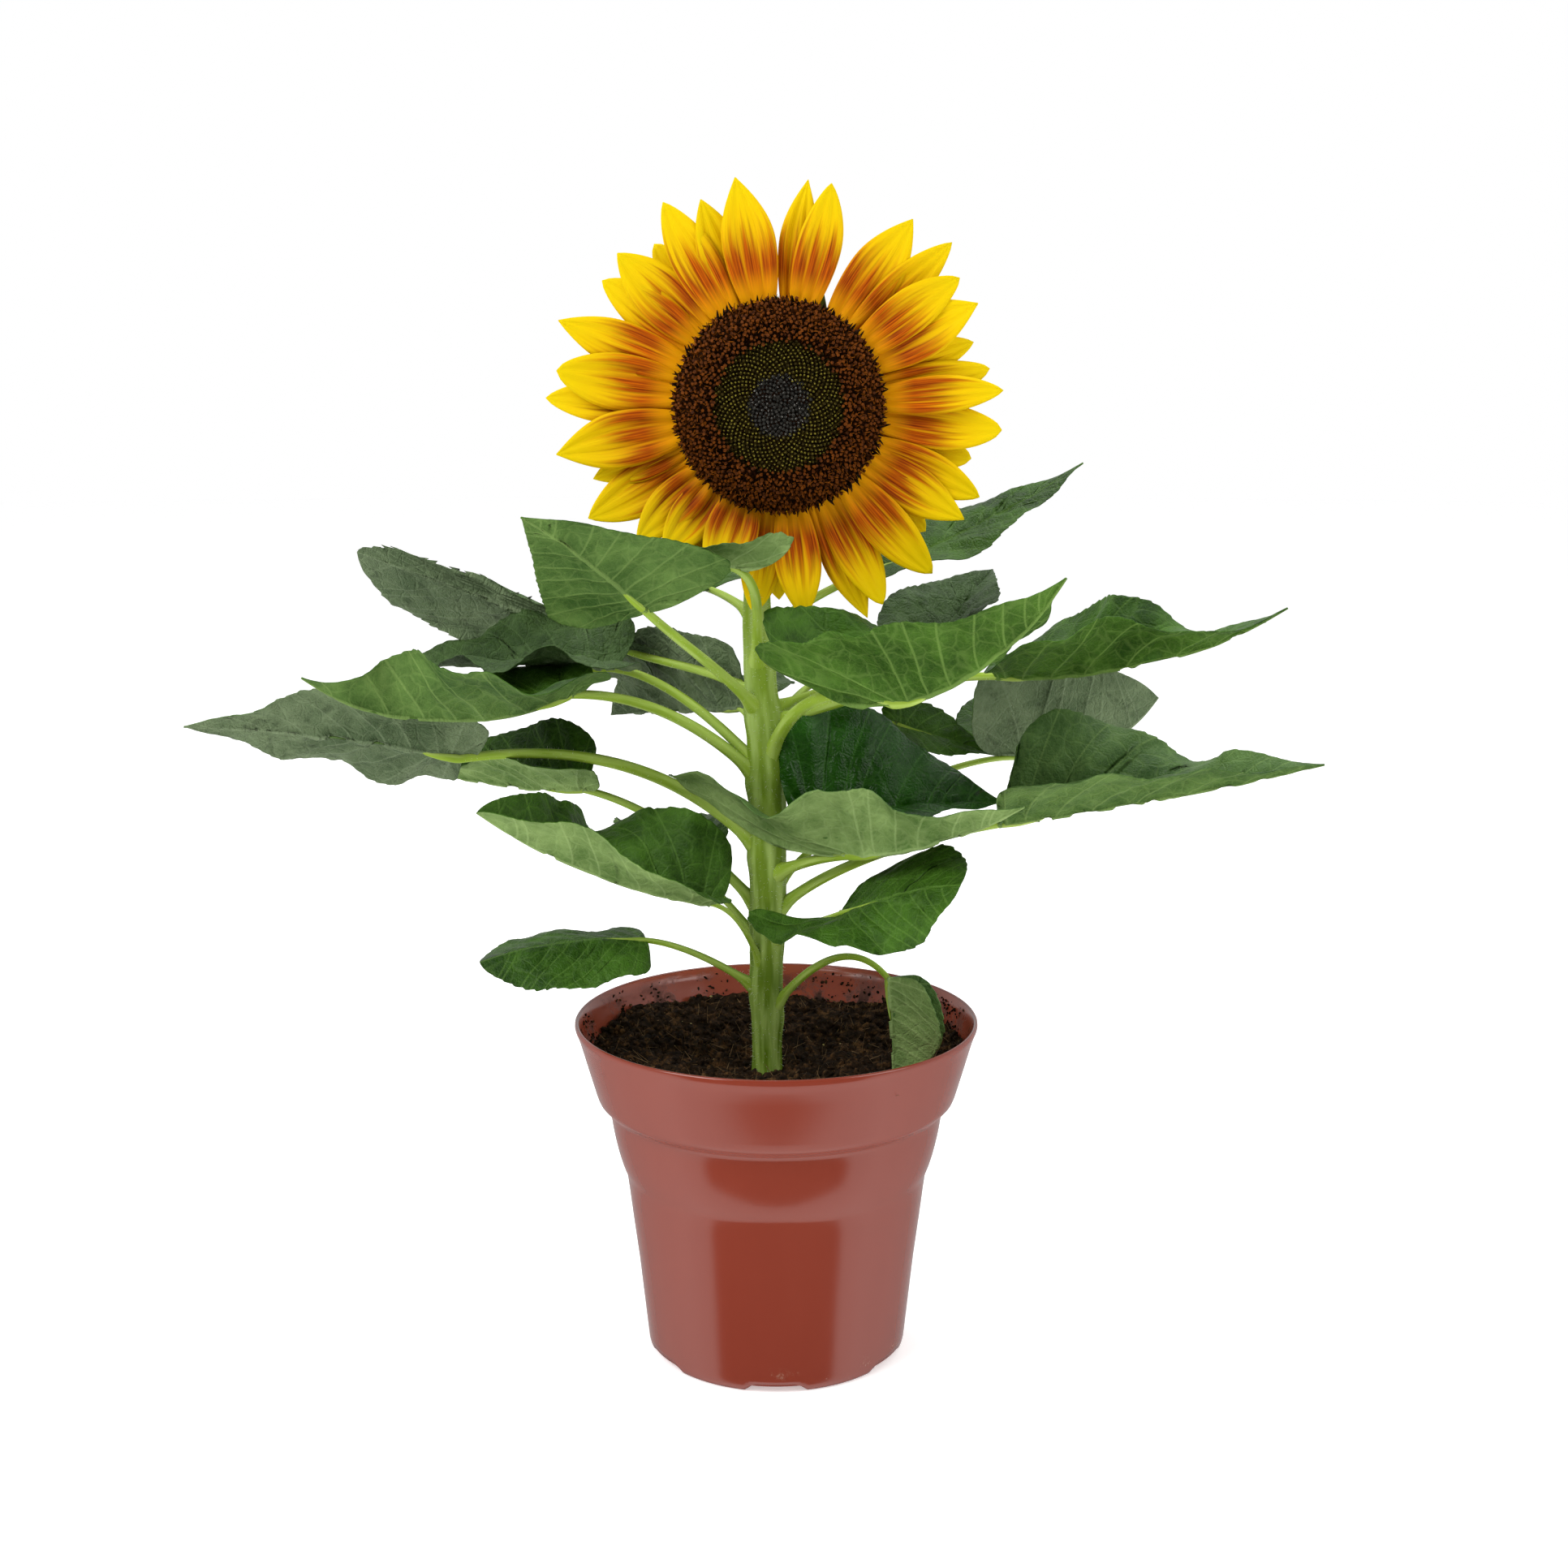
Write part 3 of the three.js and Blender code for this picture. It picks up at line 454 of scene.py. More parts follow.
def tube(points, radii, sides, first=(0, 1, 0)):
    """Round limb along points, radii by point or by point and side: points, faces and the UV place
    of each face corner (round it, and mm along it)."""
    forward = np.gradient(points, axis=0)
    forward /= np.linalg.norm(forward, axis=1)[:, None]
    turn = once_round(sides)
    across = np.array(first, float)
    rings = []
    for point, ahead, radius in zip(points, forward, radii):
        across = across - ahead * (across @ ahead)
        across /= np.linalg.norm(across)
        up = np.cross(ahead, across)
        sideways = point + np.outer(radius * np.cos(turn), across)
        rings.append(sideways + np.outer(radius * np.sin(turn), up))
    gone = gone_along(points)
    wall = np.arange((len(points) - 1) * sides)
    i, k = wall // sides, wall % sides / sides
    corners = np.stack([
        np.stack([k, gone[i]], -1), np.stack([k + 1 / sides, gone[i]], -1),
        np.stack([k + 1 / sides, gone[i + 1]], -1), np.stack([k, gone[i + 1]], -1)], 1)
    cap_places = [[0, 0]] * sides + [[0, gone[-1]]] * sides
    corners = np.vstack([corners.reshape(-1, 2), cap_places])
    return np.vstack(rings), turned_faces(len(points), sides), corners


def green_rind(name, flesh, rib, streaks):
    """Fresh green rind with lengthwise pale ribs: flesh and rib colours, streaks round the limb."""
    material, tree, skin = surface(name)
    place = add(tree, "UVMap", uv_map="along")
    stretched = add(tree, "Mapping", place, {"Scale": (streaks, 0.035, 1)})
    streak = add(tree, "TexNoise", {"Vector": stretched, "Scale": 1, "Detail": 3})
    ramp = add(tree, "MapRange", streak, 0.42, 0.66)
    where = add(tree, "TexCoord").outputs["Object"]
    cloud = add(tree, "TexNoise", {"Vector": where, "Scale": 90, "Detail": 4})
    # The green is mixed darker lower down the plant and lighter higher up.
    height = add(tree, "SeparateXYZ", where)
    higher = add(tree, "MapRange", height.outputs["Z"], 0.1, 0.27, -0.25, 0.45)
    mixed = add(tree, "Math", cloud, higher, use_clamp=True)
    tone = add(tree, "Mix", mixed, {6: linear(flesh[0]), 7: linear(flesh[1])}, data_type="RGBA")
    ribbed = add(tree, "Mix", ramp, {6: tone, 7: linear(rib)}, data_type="RGBA")
    raised = add(tree, "Bump", {"Height": streak, "Strength": 0.5, "Distance": 0.0004})
    wire(skin, {
        "Base Color": ribbed, "Roughness": 0.55, "Specular IOR Level": 0.12, "Normal": raised,
        "Subsurface Weight": 0.12, "Subsurface Radius": (0.5, 1.0, 0.2), "Subsurface Scale": 0.002})
    return material


# Living rind: watery green under a thin waxy skin, so a little light goes through it.
stem_rind = green_rind("fresh stem rind", ("#456006", "#7F9A2C"), "#98B05C", 9)
stalk_rind = green_rind("fresh leaf stalk rind", ("#6A861C", "#90AB38"), "#A8BF62", 4)


# Leaves: thin heart-shaped blades on long hairy stalks. Veins leave the midrib in pairs and bow
# towards the tip, the blade puckers between them, and its edge is finely toothed.
LEAF_SHAPE = {
    "widest": 0.24, "lobes": (-0.13, -0.13), "taper": 0.45, "roll": 0, "wave": 0, "leave": 45,
    "enter": None, "pull": 0.9, "wide": (1, 1), "blunt": 1, "lift": 0, "kind": "fresh", "under": None,
    "ruffle": 1.0, "crinkle": 0.45, "puff": 1.1,
}
# Each leaf: its node's height on the stem, the base of the blade, its heading and climb in degrees,
# and how far each half is folded up from lobe to tip, as the solids have it.
LEAVES = {
    "leaf_right_hanging": dict(
        node=110, leave=55, enter=-50, pull=1.3, stalk=1.7, base=(35, -18, 128), length=30.5, width=33,
        heading=352, climb=(-84, -86, -88), left=(86,), right=(62, 75, 80), widest=0.5, lobes=(0, 0),
        taper=-0.35, blunt=0.45, kind="pale", puff=0.5),
    "leaf_left_lowest": dict(
        node=117, leave=40, stalk=1.6, base=(-42, -6, 137), length=53, width=37, heading=195,
        climb=(8, -4, -16), left=(-35,), right=(-4,), widest=0.45, lobes=(-0.03, -0.03),
        taper=-0.5, wave=1.5, blunt=0.55, kind="deep"),
    "leaf_left_curled": dict(
        node=123, leave=60, stalk=1.3, base=(-21, -18, 152), length=80, width=58, heading=199,
        climb=(13, 25, 37), left=(14, 16, 34, 28), right=(75, 72, 55, 20, 40, 60, 62),
        lobes=(-0.02, -0.08), taper=-0.2, blunt=0.6, under="pale"),
    "leaf_back_left_low": dict(
        node=131, leave=50, stalk=1.5, base=(-31, 22, 157), length=46, width=44, heading=118,
        climb=(8, 5, -4), left=(30,), right=(30,)),
    "leaf_right_lobed": dict(
        node=135, leave=30, stalk=1.9, base=(20, -24, 150), length=43, width=58, heading=330,
        climb=(26, 20, 10), left=(22, 20, 20), right=(-22, -24, -8, -30, -55, -50, -40), wide=(0.9, 0.66),
        lobes=(0.08, -0.75), lift=0.016, widest=0.55, taper=-0.2, blunt=0.5),
    "leaf_right_far": dict(
        node=142, leave=50, enter=12, stalk=2.1, base=(70, -12, 176), length=100, width=66, heading=348,
        climb=(10, 13, 16), left=(85, 78, 50, 25, 48, 30), right=(30, 28, 25), lobes=(0.08, 0.02),
        taper=0.7, kind="pale", under="fresh"),
    "leaf_left_mid": dict(
        node=143, leave=48, enter=10, pull=1, stalk=2.1, base=(-63, 20, 181), length=63, width=50,
        heading=166, climb=(-3, 5, 13), left=(28, 33, 30), right=(58, 58, 50), lobes=(-0.13, -0.04),
        under="pale"),
    "leaf_right_hidden": dict(
        node=149, leave=55, stalk=1.6, base=(78, 18, 192), length=57, width=84, heading=20,
        climb=(-4, 14, 50), left=(20,), right=(75,), lobes=(-0.2, -0.35), taper=-0.1, blunt=0.42,
        under="worn", puff=0.3),
    "leaf_front_long": dict(
        node=156, leave=30, stalk=2.3, base=(22, -22, 168), length=64, width=58, heading=328,
        climb=(8, 20, 32), left=(5,), right=(30, 52, 48, 36, 55, 55, 38, 36, 30), lobes=(-0.05, -0.9),
        lift=0.0065, widest=0.2, taper=0.6, wave=1, kind="pale", puff=1.3),
    "leaf_left_far": dict(
        node=163, leave=48, enter=-6, pull=1.15, stalk=2.6, base=(-101, 4, 194), length=85, width=46,
        heading=193, climb=(14, 9, 4), left=(10, 20, 0), right=(14, 8, 5), roll=46, wave=2.5,
        lobes=(-0.08, -0.02), kind="pale", under="worn", crinkle=0.9),
    "leaf_back_low": dict(
        node=164, leave=30, stalk=1.8, base=(13, 42, 173), length=66, width=60, heading=49,
        climb=(8, 5, 0), left=(15,), right=(25,)),
    "leaf_right_glossy": dict(
        node=173, stalk=2.2, base=(9, -6, 177), length=64, width=77, heading=7, climb=(6, 3, 0),
        left=(84, 74, 55, 35), right=(-8,), lobes=(-0.1, -0.1), widest=0.2, taper=0.6,
        wide=(1, 0.5), kind="glossy", puff=0.9),
    "leaf_right_small": dict(
        node=181, leave=30, stalk=1.4, base=(40, 36, 200), length=42, width=22, heading=6,
        climb=(-17, -17, -17), left=(50,), right=(-20,)),
    "leaf_left_broad": dict(
        node=186, leave=48, enter=0, pull=1.05, stalk=2.4, base=(-64, -6, 216), length=86, width=68,
        heading=197, climb=(-20, 4, 36), left=(16, 18, 34, 88, 25), right=(15,), taper=0.2, puff=1.4),
    "leaf_left_dark": dict(
        node=189, leave=50, enter=0, stalk=2.2, base=(-54, 12, 222), length=76, width=50, heading=164,
        climb=(1, -2, -5), left=(15, 10, 5), right=(50, 46, 42), lobes=(-0.2, -0.08), wave=3,
        kind="worn"),
    "leaf_front_centre": dict(
        node=191, leave=68, enter=-15, pull=1, stalk=2.6, base=(34, -54, 220), length=69, width=62,
        heading=325, climb=(14, 36, 56), left=(82, 80, 30, 10, 10, 20), right=(40, 50, 46, 42, 36, 30),
        lobes=(-0.66, -0.55), lift=0.009, wave=1, under="deep", puff=1.5),
    "leaf_back_left": dict(
        node=197, leave=30, stalk=2, base=(-12, 12, 209), length=68, width=60, heading=132,
        climb=(-8, -8, -8), left=(70,), right=(20,), widest=0.45, taper=-0.1, kind="worn"),
    "leaf_back_mid": dict(
        node=200, leave=30, stalk=1.8, base=(14, 40, 214), length=68, width=56, heading=58,
        climb=(6, 3, -3), left=(20,), right=(20,)),
    "leaf_right_upper": dict(
        node=205, leave=20, enter=0, stalk=2.1, base=(69, -8, 222), length=91, width=58, heading=345,
        climb=(0, 14, 33), left=(10, 30, 75, 15, 10), right=(15, 30, 48, 22, 8), lobes=(-0.05, -0.02),
        taper=0.7, kind="deep", puff=1.4),
    "leaf_back_right": dict(
        node=208, leave=30, stalk=1.8, base=(50, 28, 226), length=54, width=44, heading=60,
        climb=(25, 25, 25), left=(30,), right=(30,), kind="worn"),
    "leaf_front_left_top": dict(
        node=208, stalk=2.2, base=(-39, -38, 246), length=58, width=64, heading=233, climb=(35, 30, 25),
        left=(8,), right=(8,), roll=22, widest=0.08, lobes=(-0.08, -0.08), taper=0.85, ruffle=0.5),
    "leaf_left_pale": dict(
        node=213, leave=35, stalk=2, base=(-50, 28, 226), length=95, width=54, heading=171,
        climb=(19, 19, 19), left=(5,), right=(5,), roll=55, wave=2, wide=(0.28, 0.85), widest=0.7,
        taper=-0.2, blunt=0.5, kind="worn", puff=0.5),
    "leaf_under_flower": dict(
        node=223, leave=40, stalk=2.2, base=(-14, -31, 258), length=22, width=27, heading=158,
        climb=(10, 8, 4), left=(80, 45, 20, 10), right=(10,), lobes=(-0.9, -0.2), lift=0.012,
        kind="pale"),
    "leaf_right_top": dict(
        node=232, stalk=1.9, base=(32, 18, 253), length=80, width=34, heading=19, climb=(18, 24, 32),
        left=(35, 25, 10), right=(5, -15, -5), taper=0.5, under="deep"),
    "leaf_back_top": dict(
        node=238, leave=25, stalk=1.8, base=(-24, 32, 246), length=66, width=54, heading=128,
        climb=(4, 1, -4), left=(20,), right=(20,)),
}
LOBE_ROUND = 0.6
BLADE_THICK = 0.45
EDGE_THICK = 0.25
VEIN_ROWS = np.array([-0.4, 0.75, 1.9, 3.0, 4.0, 4.9, 5.7, 6.4, 7.0, 7.5, 8.2])
VEIN_LIFT = 0.32
VEIN_WIDE = 0.42
MIDRIB_HIGH = 1.0
MIDRIB_WIDE = 1.0
TOOTH_GAP = 4.0
TOOTH = 0.5
EDGE_STEPS = 110
STALK_UNDER = 14
STALK_STEPS = 40
STALK_SIDES = 10


def eased(values, share):
    """Value on evenly spaced stations, eased from each to the next."""
    values = np.asarray(values, float)
    last = len(values) - 1
    place = np.clip(share, 0, 1) * last
    i = np.minimum(np.floor(place).astype(int), max(last - 1, 0))
    t = place - i
    return values[i] + (values[np.minimum(i + 1, last)] - values[i]) * t * t * (3 - 2 * t)


def direction(heading, climb):
    """Unit vector from degrees from +X and degrees above level."""
    h, c = np.radians(heading), np.radians(climb)
    return np.stack([np.cos(c) * np.cos(h), np.cos(c) * np.sin(h), np.sin(c)], -1)


def midrib(leaf, distance):
    """Places and directions on the midrib, which runs straight on behind the base."""
    steps = 200
    shares = (np.arange(steps) + 0.5) / steps
    path = np.cumsum(direction(leaf["heading"], eased(leaf["climb"], shares)), axis=0)
    path = np.vstack([[0, 0, 0], path * leaf["length"] / steps]) + leaf["base"]
    share = np.clip(distance / leaf["length"], 0, 1)
    on_path = np.stack(
        [np.interp(share * steps, np.arange(steps + 1), path[:, k]) for k in range(3)], -1)
    ahead = direction(leaf["heading"], eased(leaf["climb"], share))
    behind = np.minimum(distance, 0)[..., None]
    return on_path + ahead * behind + leaf["lift"] * behind ** 2 * [0, 0, 1], ahead


def outline(leaf, lobe, row):
    """Half the outline by row, from the notch beside the stalk (under 1) round the lobe (3 at the
    widest) to the tip (8): shares of the length, and shares of the half width."""
    inner = np.radians(np.clip(58.5 * (1 - row), 0, 90))
    outer = np.radians(np.clip(90 * (3 - row) / 2, 0, 90))
    left = np.clip(1 - (row - 3) / 5, 0, 1)
    back = np.where(row < 1, lobe * np.cos(inner) ** LOBE_ROUND,
                    leaf["widest"] - (leaf["widest"] - lobe) * np.sin(outer))
    wide = np.where(row < 1, 0.5 * (1 - np.sin(inner)), 0.5 + 0.5 * np.cos(outer))
    front = (1 - leaf["taper"]) * np.sin(math.pi / 2 * left) + leaf["taper"] * left
    front = np.maximum(front, 0) ** leaf["blunt"]
    back = np.where(row > 3, 1 - (1 - leaf["widest"]) * left, back)
    return back, np.maximum(np.where(row > 3, front, wide), 0.008)


def tilted(leaf, ahead):
    """Directions to the left and up out of a blade, rolled about its midrib."""
    level = np.stack([-ahead[..., 1], ahead[..., 0], 0 * ahead[..., 0]], -1)
    level /= np.linalg.norm(level, axis=-1)[..., None]
    up = np.cross(ahead, level)
    roll = math.radians(leaf["roll"])
    return level * math.cos(roll) + up * math.sin(roll), up * math.cos(roll) - level * math.sin(roll)


def half_blade(leaf, side, row, share):
    """Places on one half, side 1 for the left: out along the vein of a row by a share."""
    which = 0 if side > 0 else 1
    lobe = leaf["lobes"][which]
    back, wide = outline(leaf, lobe, row)
    start = (np.maximum(row, 0) / 8) ** 2.5
    a = leaf["length"] * (start + (back - start) * share ** 1.4)
    b = wide * share * leaf["width"] / 2 * leaf["wide"][which]
    point, ahead = midrib(leaf, a)
    left, over = tilted(leaf, ahead)
    folds = leaf["left"] if side > 0 else leaf["right"]
    fold = np.radians(eased(folds, (a / leaf["length"] - lobe) / (1 - lobe)))
    phase = 0 if side > 0 else 0.7 * math.pi
    out = 2 * b / leaf["width"]
    wave = leaf["wave"] * out ** 2 * np.sin(4 * math.pi * a / leaf["length"] + phase)
    rise = b * np.sin(fold) + wave
    return point + left * (side * b * np.cos(fold))[..., None] + over * rise[..., None], a, b


def normals_of(grid):
    """Unit normals of a grid of points, up for rows that run forward and columns to the right."""
    right = np.gradient(grid, axis=1)
    ahead = np.gradient(grid, axis=0)
    up = np.cross(right, ahead)
    return up / np.maximum(np.linalg.norm(up, axis=-1), 1e-9)[..., None]


def sheet(upper, lower):
    """Closed thin sheet between two grids: points, faces, and which faces are the lower side."""
    rows, columns = upper.shape[:2]
    count = rows * columns
    top = strips(rows, columns)
    index = np.arange(count).reshape(rows, columns)
    edge = np.concatenate([
        index[0, ::-1], index[1:, 0], index[-1, 1:], index[-2::-1, -1][:-1], [index[0, -1]]])
    rim = np.stack([edge[:-1], edge[1:], edge[1:] + count, edge[:-1] + count], -1)
    faces = np.vstack([top, top[:, ::-1] + count, rim])
    slots = np.repeat([0, 1, 0], [len(top), len(top), len(rim)])
    return np.vstack([upper.reshape(-1, 3), lower.reshape(-1, 3)]), faces, slots


def blade(leaf, seed):
    """A leaf's blade: points, faces, sides, UV places in cm and the notes that its veins need."""
    dice = np.random.default_rng(seed)
    fine = np.linspace(-0.45, 8, 900)
    gone = gone_along(half_blade(leaf, 1, fine, np.ones_like(fine))[0])
    even = np.interp(np.linspace(0, gone[-1], EDGE_STEPS), gone, fine)
    shifts = dice.uniform(-0.22, 0.22, (2, len(VEIN_ROWS))) * (np.arange(len(VEIN_ROWS)) % 10 > 0)
    vein_rows = VEIN_ROWS + shifts
    near_vein = (vein_rows[:, 1:-1, None] + np.array([-0.07, 0, 0.07])).ravel()
    row = np.unique(np.concatenate([even, near_vein]))
    margin = np.interp(row, fine, gone)
    out = np.concatenate([
        [0, 0.012, 0.026, 0.045, 0.07, 0.11], np.linspace(0.17, 0.93, 11), [0.975, 1.0]])
    tooth = (margin / TOOTH_GAP + 0.35 * np.sin(margin / 9 + seed)) % 1
    jag = TOOTH * (np.where(tooth < 0.75, tooth / 0.75, (1 - tooth) / 0.25) - 0.5)
    jag = jag * (row > 0.8) * (row < 7.9)
    halves = []
    for side in (0, 1):
        rows, shares = np.meshgrid(row, out, indexing="ij")
        half_width = leaf["width"] / 2 * leaf["wide"][side]
        grown = shares + (shares == 1) * (jag / half_width)[:, None]
        vein = np.interp(row, vein_rows[side], np.arange(len(VEIN_ROWS)))[:, None] + 0 * shares
        halves.append((*half_blade(leaf, 1 - 2 * side, rows, grown), vein))
    points, a, b, vein = (
        np.concatenate([left[:, ::-1], right[:, 1:]], 1) for left, right in zip(*halves))
    share = np.concatenate([out[::-1], out[1:]])[None, :]
    sign = np.concatenate([np.ones(len(out)), -np.ones(len(out) - 1)])[None, :]
    up = normals_of(points)
    flat = np.stack([a, b * sign], -1)
    between = np.sin(math.pi * vein) ** 2
    size = leaf["width"] / 60
    step = np.linalg.norm(np.gradient(points, axis=0), axis=-1)
    step = step / np.maximum(np.abs(np.gradient(vein, axis=0)), 1e-4)
    pillow = leaf["puff"] * size * np.minimum(step / 11, 1.4) * between
    pillow = pillow * np.sin(math.pi * np.clip(share * 1.05, 0, 1)) ** 0.7
    camber = 0.05 * leaf["width"] * share * (1 - share)
    rolling = np.sin(margin[:, None] / 5.5 + 2 * sign + dice.uniform(0, 6))
    sway = leaf["ruffle"] * 1.3 * share ** 3 * rolling
    creases = ripples(flat, (16, 9), 5, seed) + 0.35 * ripples(flat, (4.5,), 6, seed + 50)
    creases = leaf["crinkle"] * creases
    fade = np.clip((row + 0.45) / 1.2, 0, 1)[:, None] * np.clip((8 - row) / 1.8, 0, 1)[:, None]
    points = points + up * ((pillow + camber + sway + creases) * fade * (share > 0))[..., None]
    up = normals_of(points)
    off_vein = np.abs(vein - np.round(vein)) * step
    ridge = VEIN_LIFT * size * np.exp(-(off_vein / VEIN_WIDE) ** 2) * (1 - 0.75 * share)
    ridge = ridge * (share < 0.95) * np.clip(share / 0.1, 0, 1)
    left_over = np.clip(1 - a / leaf["length"], 0, 1)
    slimming = 0.35 + 0.65 * left_over
    spine = (0.2 + 0.8 * left_over ** 1.3) * np.exp(-(b / (MIDRIB_WIDE * slimming)) ** 2)
    thick = EDGE_THICK + (BLADE_THICK - EDGE_THICK) * (1 - share ** 4)
    upper = points + up * (thick / 2 - 0.25 * ridge - 0.25 * spine)[..., None]
    lower = points - up * (thick / 2 + ridge + MIDRIB_HIGH * spine)[..., None]
    verts, faces, slots = sheet(upper, lower)
    notes = {key: np.tile(values.ravel(), 2)
             for key, values in (("vein", vein), ("gauge", step), ("rib", b / slimming))}
    return verts, faces, slots, np.tile(flat.reshape(-1, 2), (2, 1)) / 10, notes


def merged(parts):
    """Meshes as one: points and faces."""
    starts = np.cumsum([0] + [len(verts) for verts, _ in parts]).tolist()
    faces = [[v + start for v in face] for start, (_, f) in zip(starts, parts) for face in f]
    return np.vstack([verts for verts, _ in parts]), faces


def stem_at(height):
    """The stem's axis at a height below the neck."""
    return np.array([np.interp(height, STEM_STATIONS[:9, 2], STEM_STATIONS[:9, k]) for k in range(3)])


def stalk(leaf):
    """A leaf's stalk, from the stem's axis to the blade and a little way on under its midrib."""
    start, end = stem_at(leaf["node"]), np.array(leaf["base"], float)
    span = np.linalg.norm(end - start) * leaf["pull"] / 3
    heading = math.degrees(math.atan2(end[1] - start[1], end[0] - start[0]))
    enter = leaf["climb"][0] if leaf["enter"] is None else leaf["enter"]
    p1 = start + direction(heading, leaf["leave"]) * span
    p2 = end - direction(leaf["heading"], enter) * span
    t = np.linspace(0, 1, STALK_STEPS)[:, None]
    curve = (1 - t) ** 3 * start + 3 * (1 - t) ** 2 * t * p1 + 3 * (1 - t) * t ** 2 * p2 + t ** 3 * end
    gone = np.linalg.norm(curve - start, axis=1)
    swollen = 1.5 * np.exp(-(np.maximum(gone - 4, 0) / 5) ** 2)
    radius = 0.88 * leaf["stalk"] * (1 - 0.35 * t[:, 0]) + swollen
    further = np.linspace(0, STALK_UNDER, 14)[1:]
    rib, ahead = midrib(leaf, further)
    over = tilted(leaf, ahead)[1]
    slim = 0.572 * leaf["stalk"] * (1 - further / STALK_UNDER) ** 0.6 + 0.12
    sink = (0.5 * slim * np.clip(further / 6, 0, 1))[:, None]
    path = np.vstack([curve, rib - over * sink])
    return tube(path, np.concatenate([radius, slim]), STALK_SIDES, first=(0, 0, 1))


def leaf_skin(name, shade, tint, vein_tone, strong, rough_to, glint, crease_shade_and_depth):
    """Leaf surface: two greens in soft clouds, paler veins, a fine net between them and a pitted skin,
    with painted shade darkening the hollows of its wrinkles. strong is how far the veins stand out in
    colour, glint how much light the skin mirrors, crease_shade_and_depth how deep the wrinkles are and
    how dark their painted shade is."""
    material, tree, skin = surface(name)
    places = add(tree, "UVMap", uv_map="along")
    note = {key: add(tree, "Attribute", attribute_name=key).outputs["Fac"]
            for key in ("vein", "gauge", "rib")}
    off = add(tree, "Math", note["vein"], 0.5, operation="PINGPONG")
    away = add(tree, "Math", off, note["gauge"], operation="MULTIPLY")
    lateral = add(tree, "MapRange", away, 0.55, 0.15, 0.0, 0.8, interpolation_type="SMOOTHSTEP")
    spine = add(tree, "MapRange", note["rib"], 1.15, 0.5, 0.0, 1.0, interpolation_type="SMOOTHSTEP")
    warp = add(tree, "TexNoise", {"Vector": places, "Scale": 2.2, "Detail": 2})
    moved = add(tree, "VectorMath", warp.outputs["Color"], (0.35, 0.35, 0), places,
                operation="MULTIPLY_ADD")
    cells = add(tree, "TexVoronoi", {"Vector": moved, "Scale": 1.5}, feature="DISTANCE_TO_EDGE")
    mesh_cells = add(tree, "TexVoronoi", {"Vector": moved, "Scale": 5.5}, feature="DISTANCE_TO_EDGE")
    net = add(tree, "MapRange", cells, 0.08, 0.02, 0.0, 0.4)
    small_net = add(tree, "MapRange", mesh_cells, 0.12, 0.02, 0.0, 0.2)
    nets = add(tree, "Math", net, small_net, operation="MAXIMUM")
    veins = add(tree, "Math", lateral, spine, operation="MAXIMUM")
    lines = add(tree, "Math", veins, nets, operation="MAXIMUM")
    amount = add(tree, "Math", lines, strong, operation="MULTIPLY")
    where = add(tree, "TexCoord").outputs["Object"]
    cloud = add(tree, "TexNoise", {"Vector": where, "Scale": 42, "Detail": 7, "Roughness": 0.7})
    soft = add(tree, "MapRange", cloud, 0.36, 0.64)
    green = add(tree, "Mix", soft, {6: linear(shade), 7: linear(tint)}, data_type="RGBA")
    wrinkle = add(tree, "TexNoise", {
        "Vector": places, "Scale": 1.6, "Detail": 7, "Roughness": 0.65, "Distortion": 0.6})
    # Painted shade: the hollows of the wrinkles are darkened towards a deep copy of the green.
    crease_shade_mask = add(tree, "MapRange", wrinkle, 0.46, 0.34, 0.0, crease_shade_and_depth)
    dark = [c * 0.35 for c in linear(shade)[:3]] + [1]
    crease_shaded = add(tree, "Mix", crease_shade_mask, {6: green, 7: dark}, data_type="RGBA")
    veined = add(tree, "Mix", amount, {6: crease_shaded, 7: linear(vein_tone)}, data_type="RGBA")
    shine = add(tree, "MapRange", cloud, 0.3, 0.7, rough_to - 0.06, rough_to + 0.08)
    pits = add(tree, "TexNoise", {"Vector": places, "Scale": 14, "Detail": 3})
    relief = add(tree, "Math", nets, -1.2, pits, operation="MULTIPLY_ADD")
    pressed = add(tree, "Math", wrinkle, 2.0 * crease_shade_and_depth + 0.5, relief, operation="MULTIPLY_ADD")
    bumped = add(tree, "Bump", {"Height": pressed, "Strength": 0.3 + crease_shade_and_depth, "Distance": 0.001})
    wire(skin, {"Base Color": veined, "Roughness": shine, "Specular IOR Level": glint, "Normal": bumped})
    return material


# Leaf skins: waxy and dark above, matt and paler with raised veins below. Old leaves are greyer and
# wrinkled, with deeper painted shade in their wrinkles, and one young leaf is deep green and shiny.
# Each side: two greens, vein colour, vein strength, roughness, glint, and painted shade in wrinkles.
LEAF_TONES = {
    "fresh": ("leaf", ("#1B3804", "#42691A", "#6E9440", 0.34, 0.44, 0.15, 0.15),
              ("#345220", "#5E7C3C", "#8AA45C", 0.38, 0.62, 0.08, 0.2)),
    "deep": ("dark leaf", ("#1C3A06", "#42691C", "#6E9244", 0.34, 0.44, 0.15, 0.15),
             ("#26440E", "#4A6E24", "#86A454", 0.42, 0.55, 0.08, 0.2)),
    "pale": ("pale leaf", ("#2C4C1A", "#58783C", "#86A45C", 0.34, 0.47, 0.18, 0.15),
             ("#506C34", "#80995A", "#A6BC7C", 0.36, 0.66, 0.05, 0.2)),
    "glossy": ("glossy leaf", ("#0C2E00", "#1E4E06", "#44722A", 0.4, 0.24, 0.24, 0.02),
               ("#3A561C", "#4E6C2A", "#76944A", 0.4, 0.55, 0.12, 0.1)),
    "worn": ("old leaf", ("#243C12", "#466030", "#64804C", 0.3, 0.5, 0.22, 0.45),
             ("#46593A", "#70815E", "#92A27E", 0.3, 0.62, 0.12, 0.5)),
}
LEAF_SKINS = {
    kind: (leaf_skin(name + " upper side", *upper), leaf_skin(name + " under side", *under))
    for kind, (name, upper, under) in LEAF_TONES.items()}

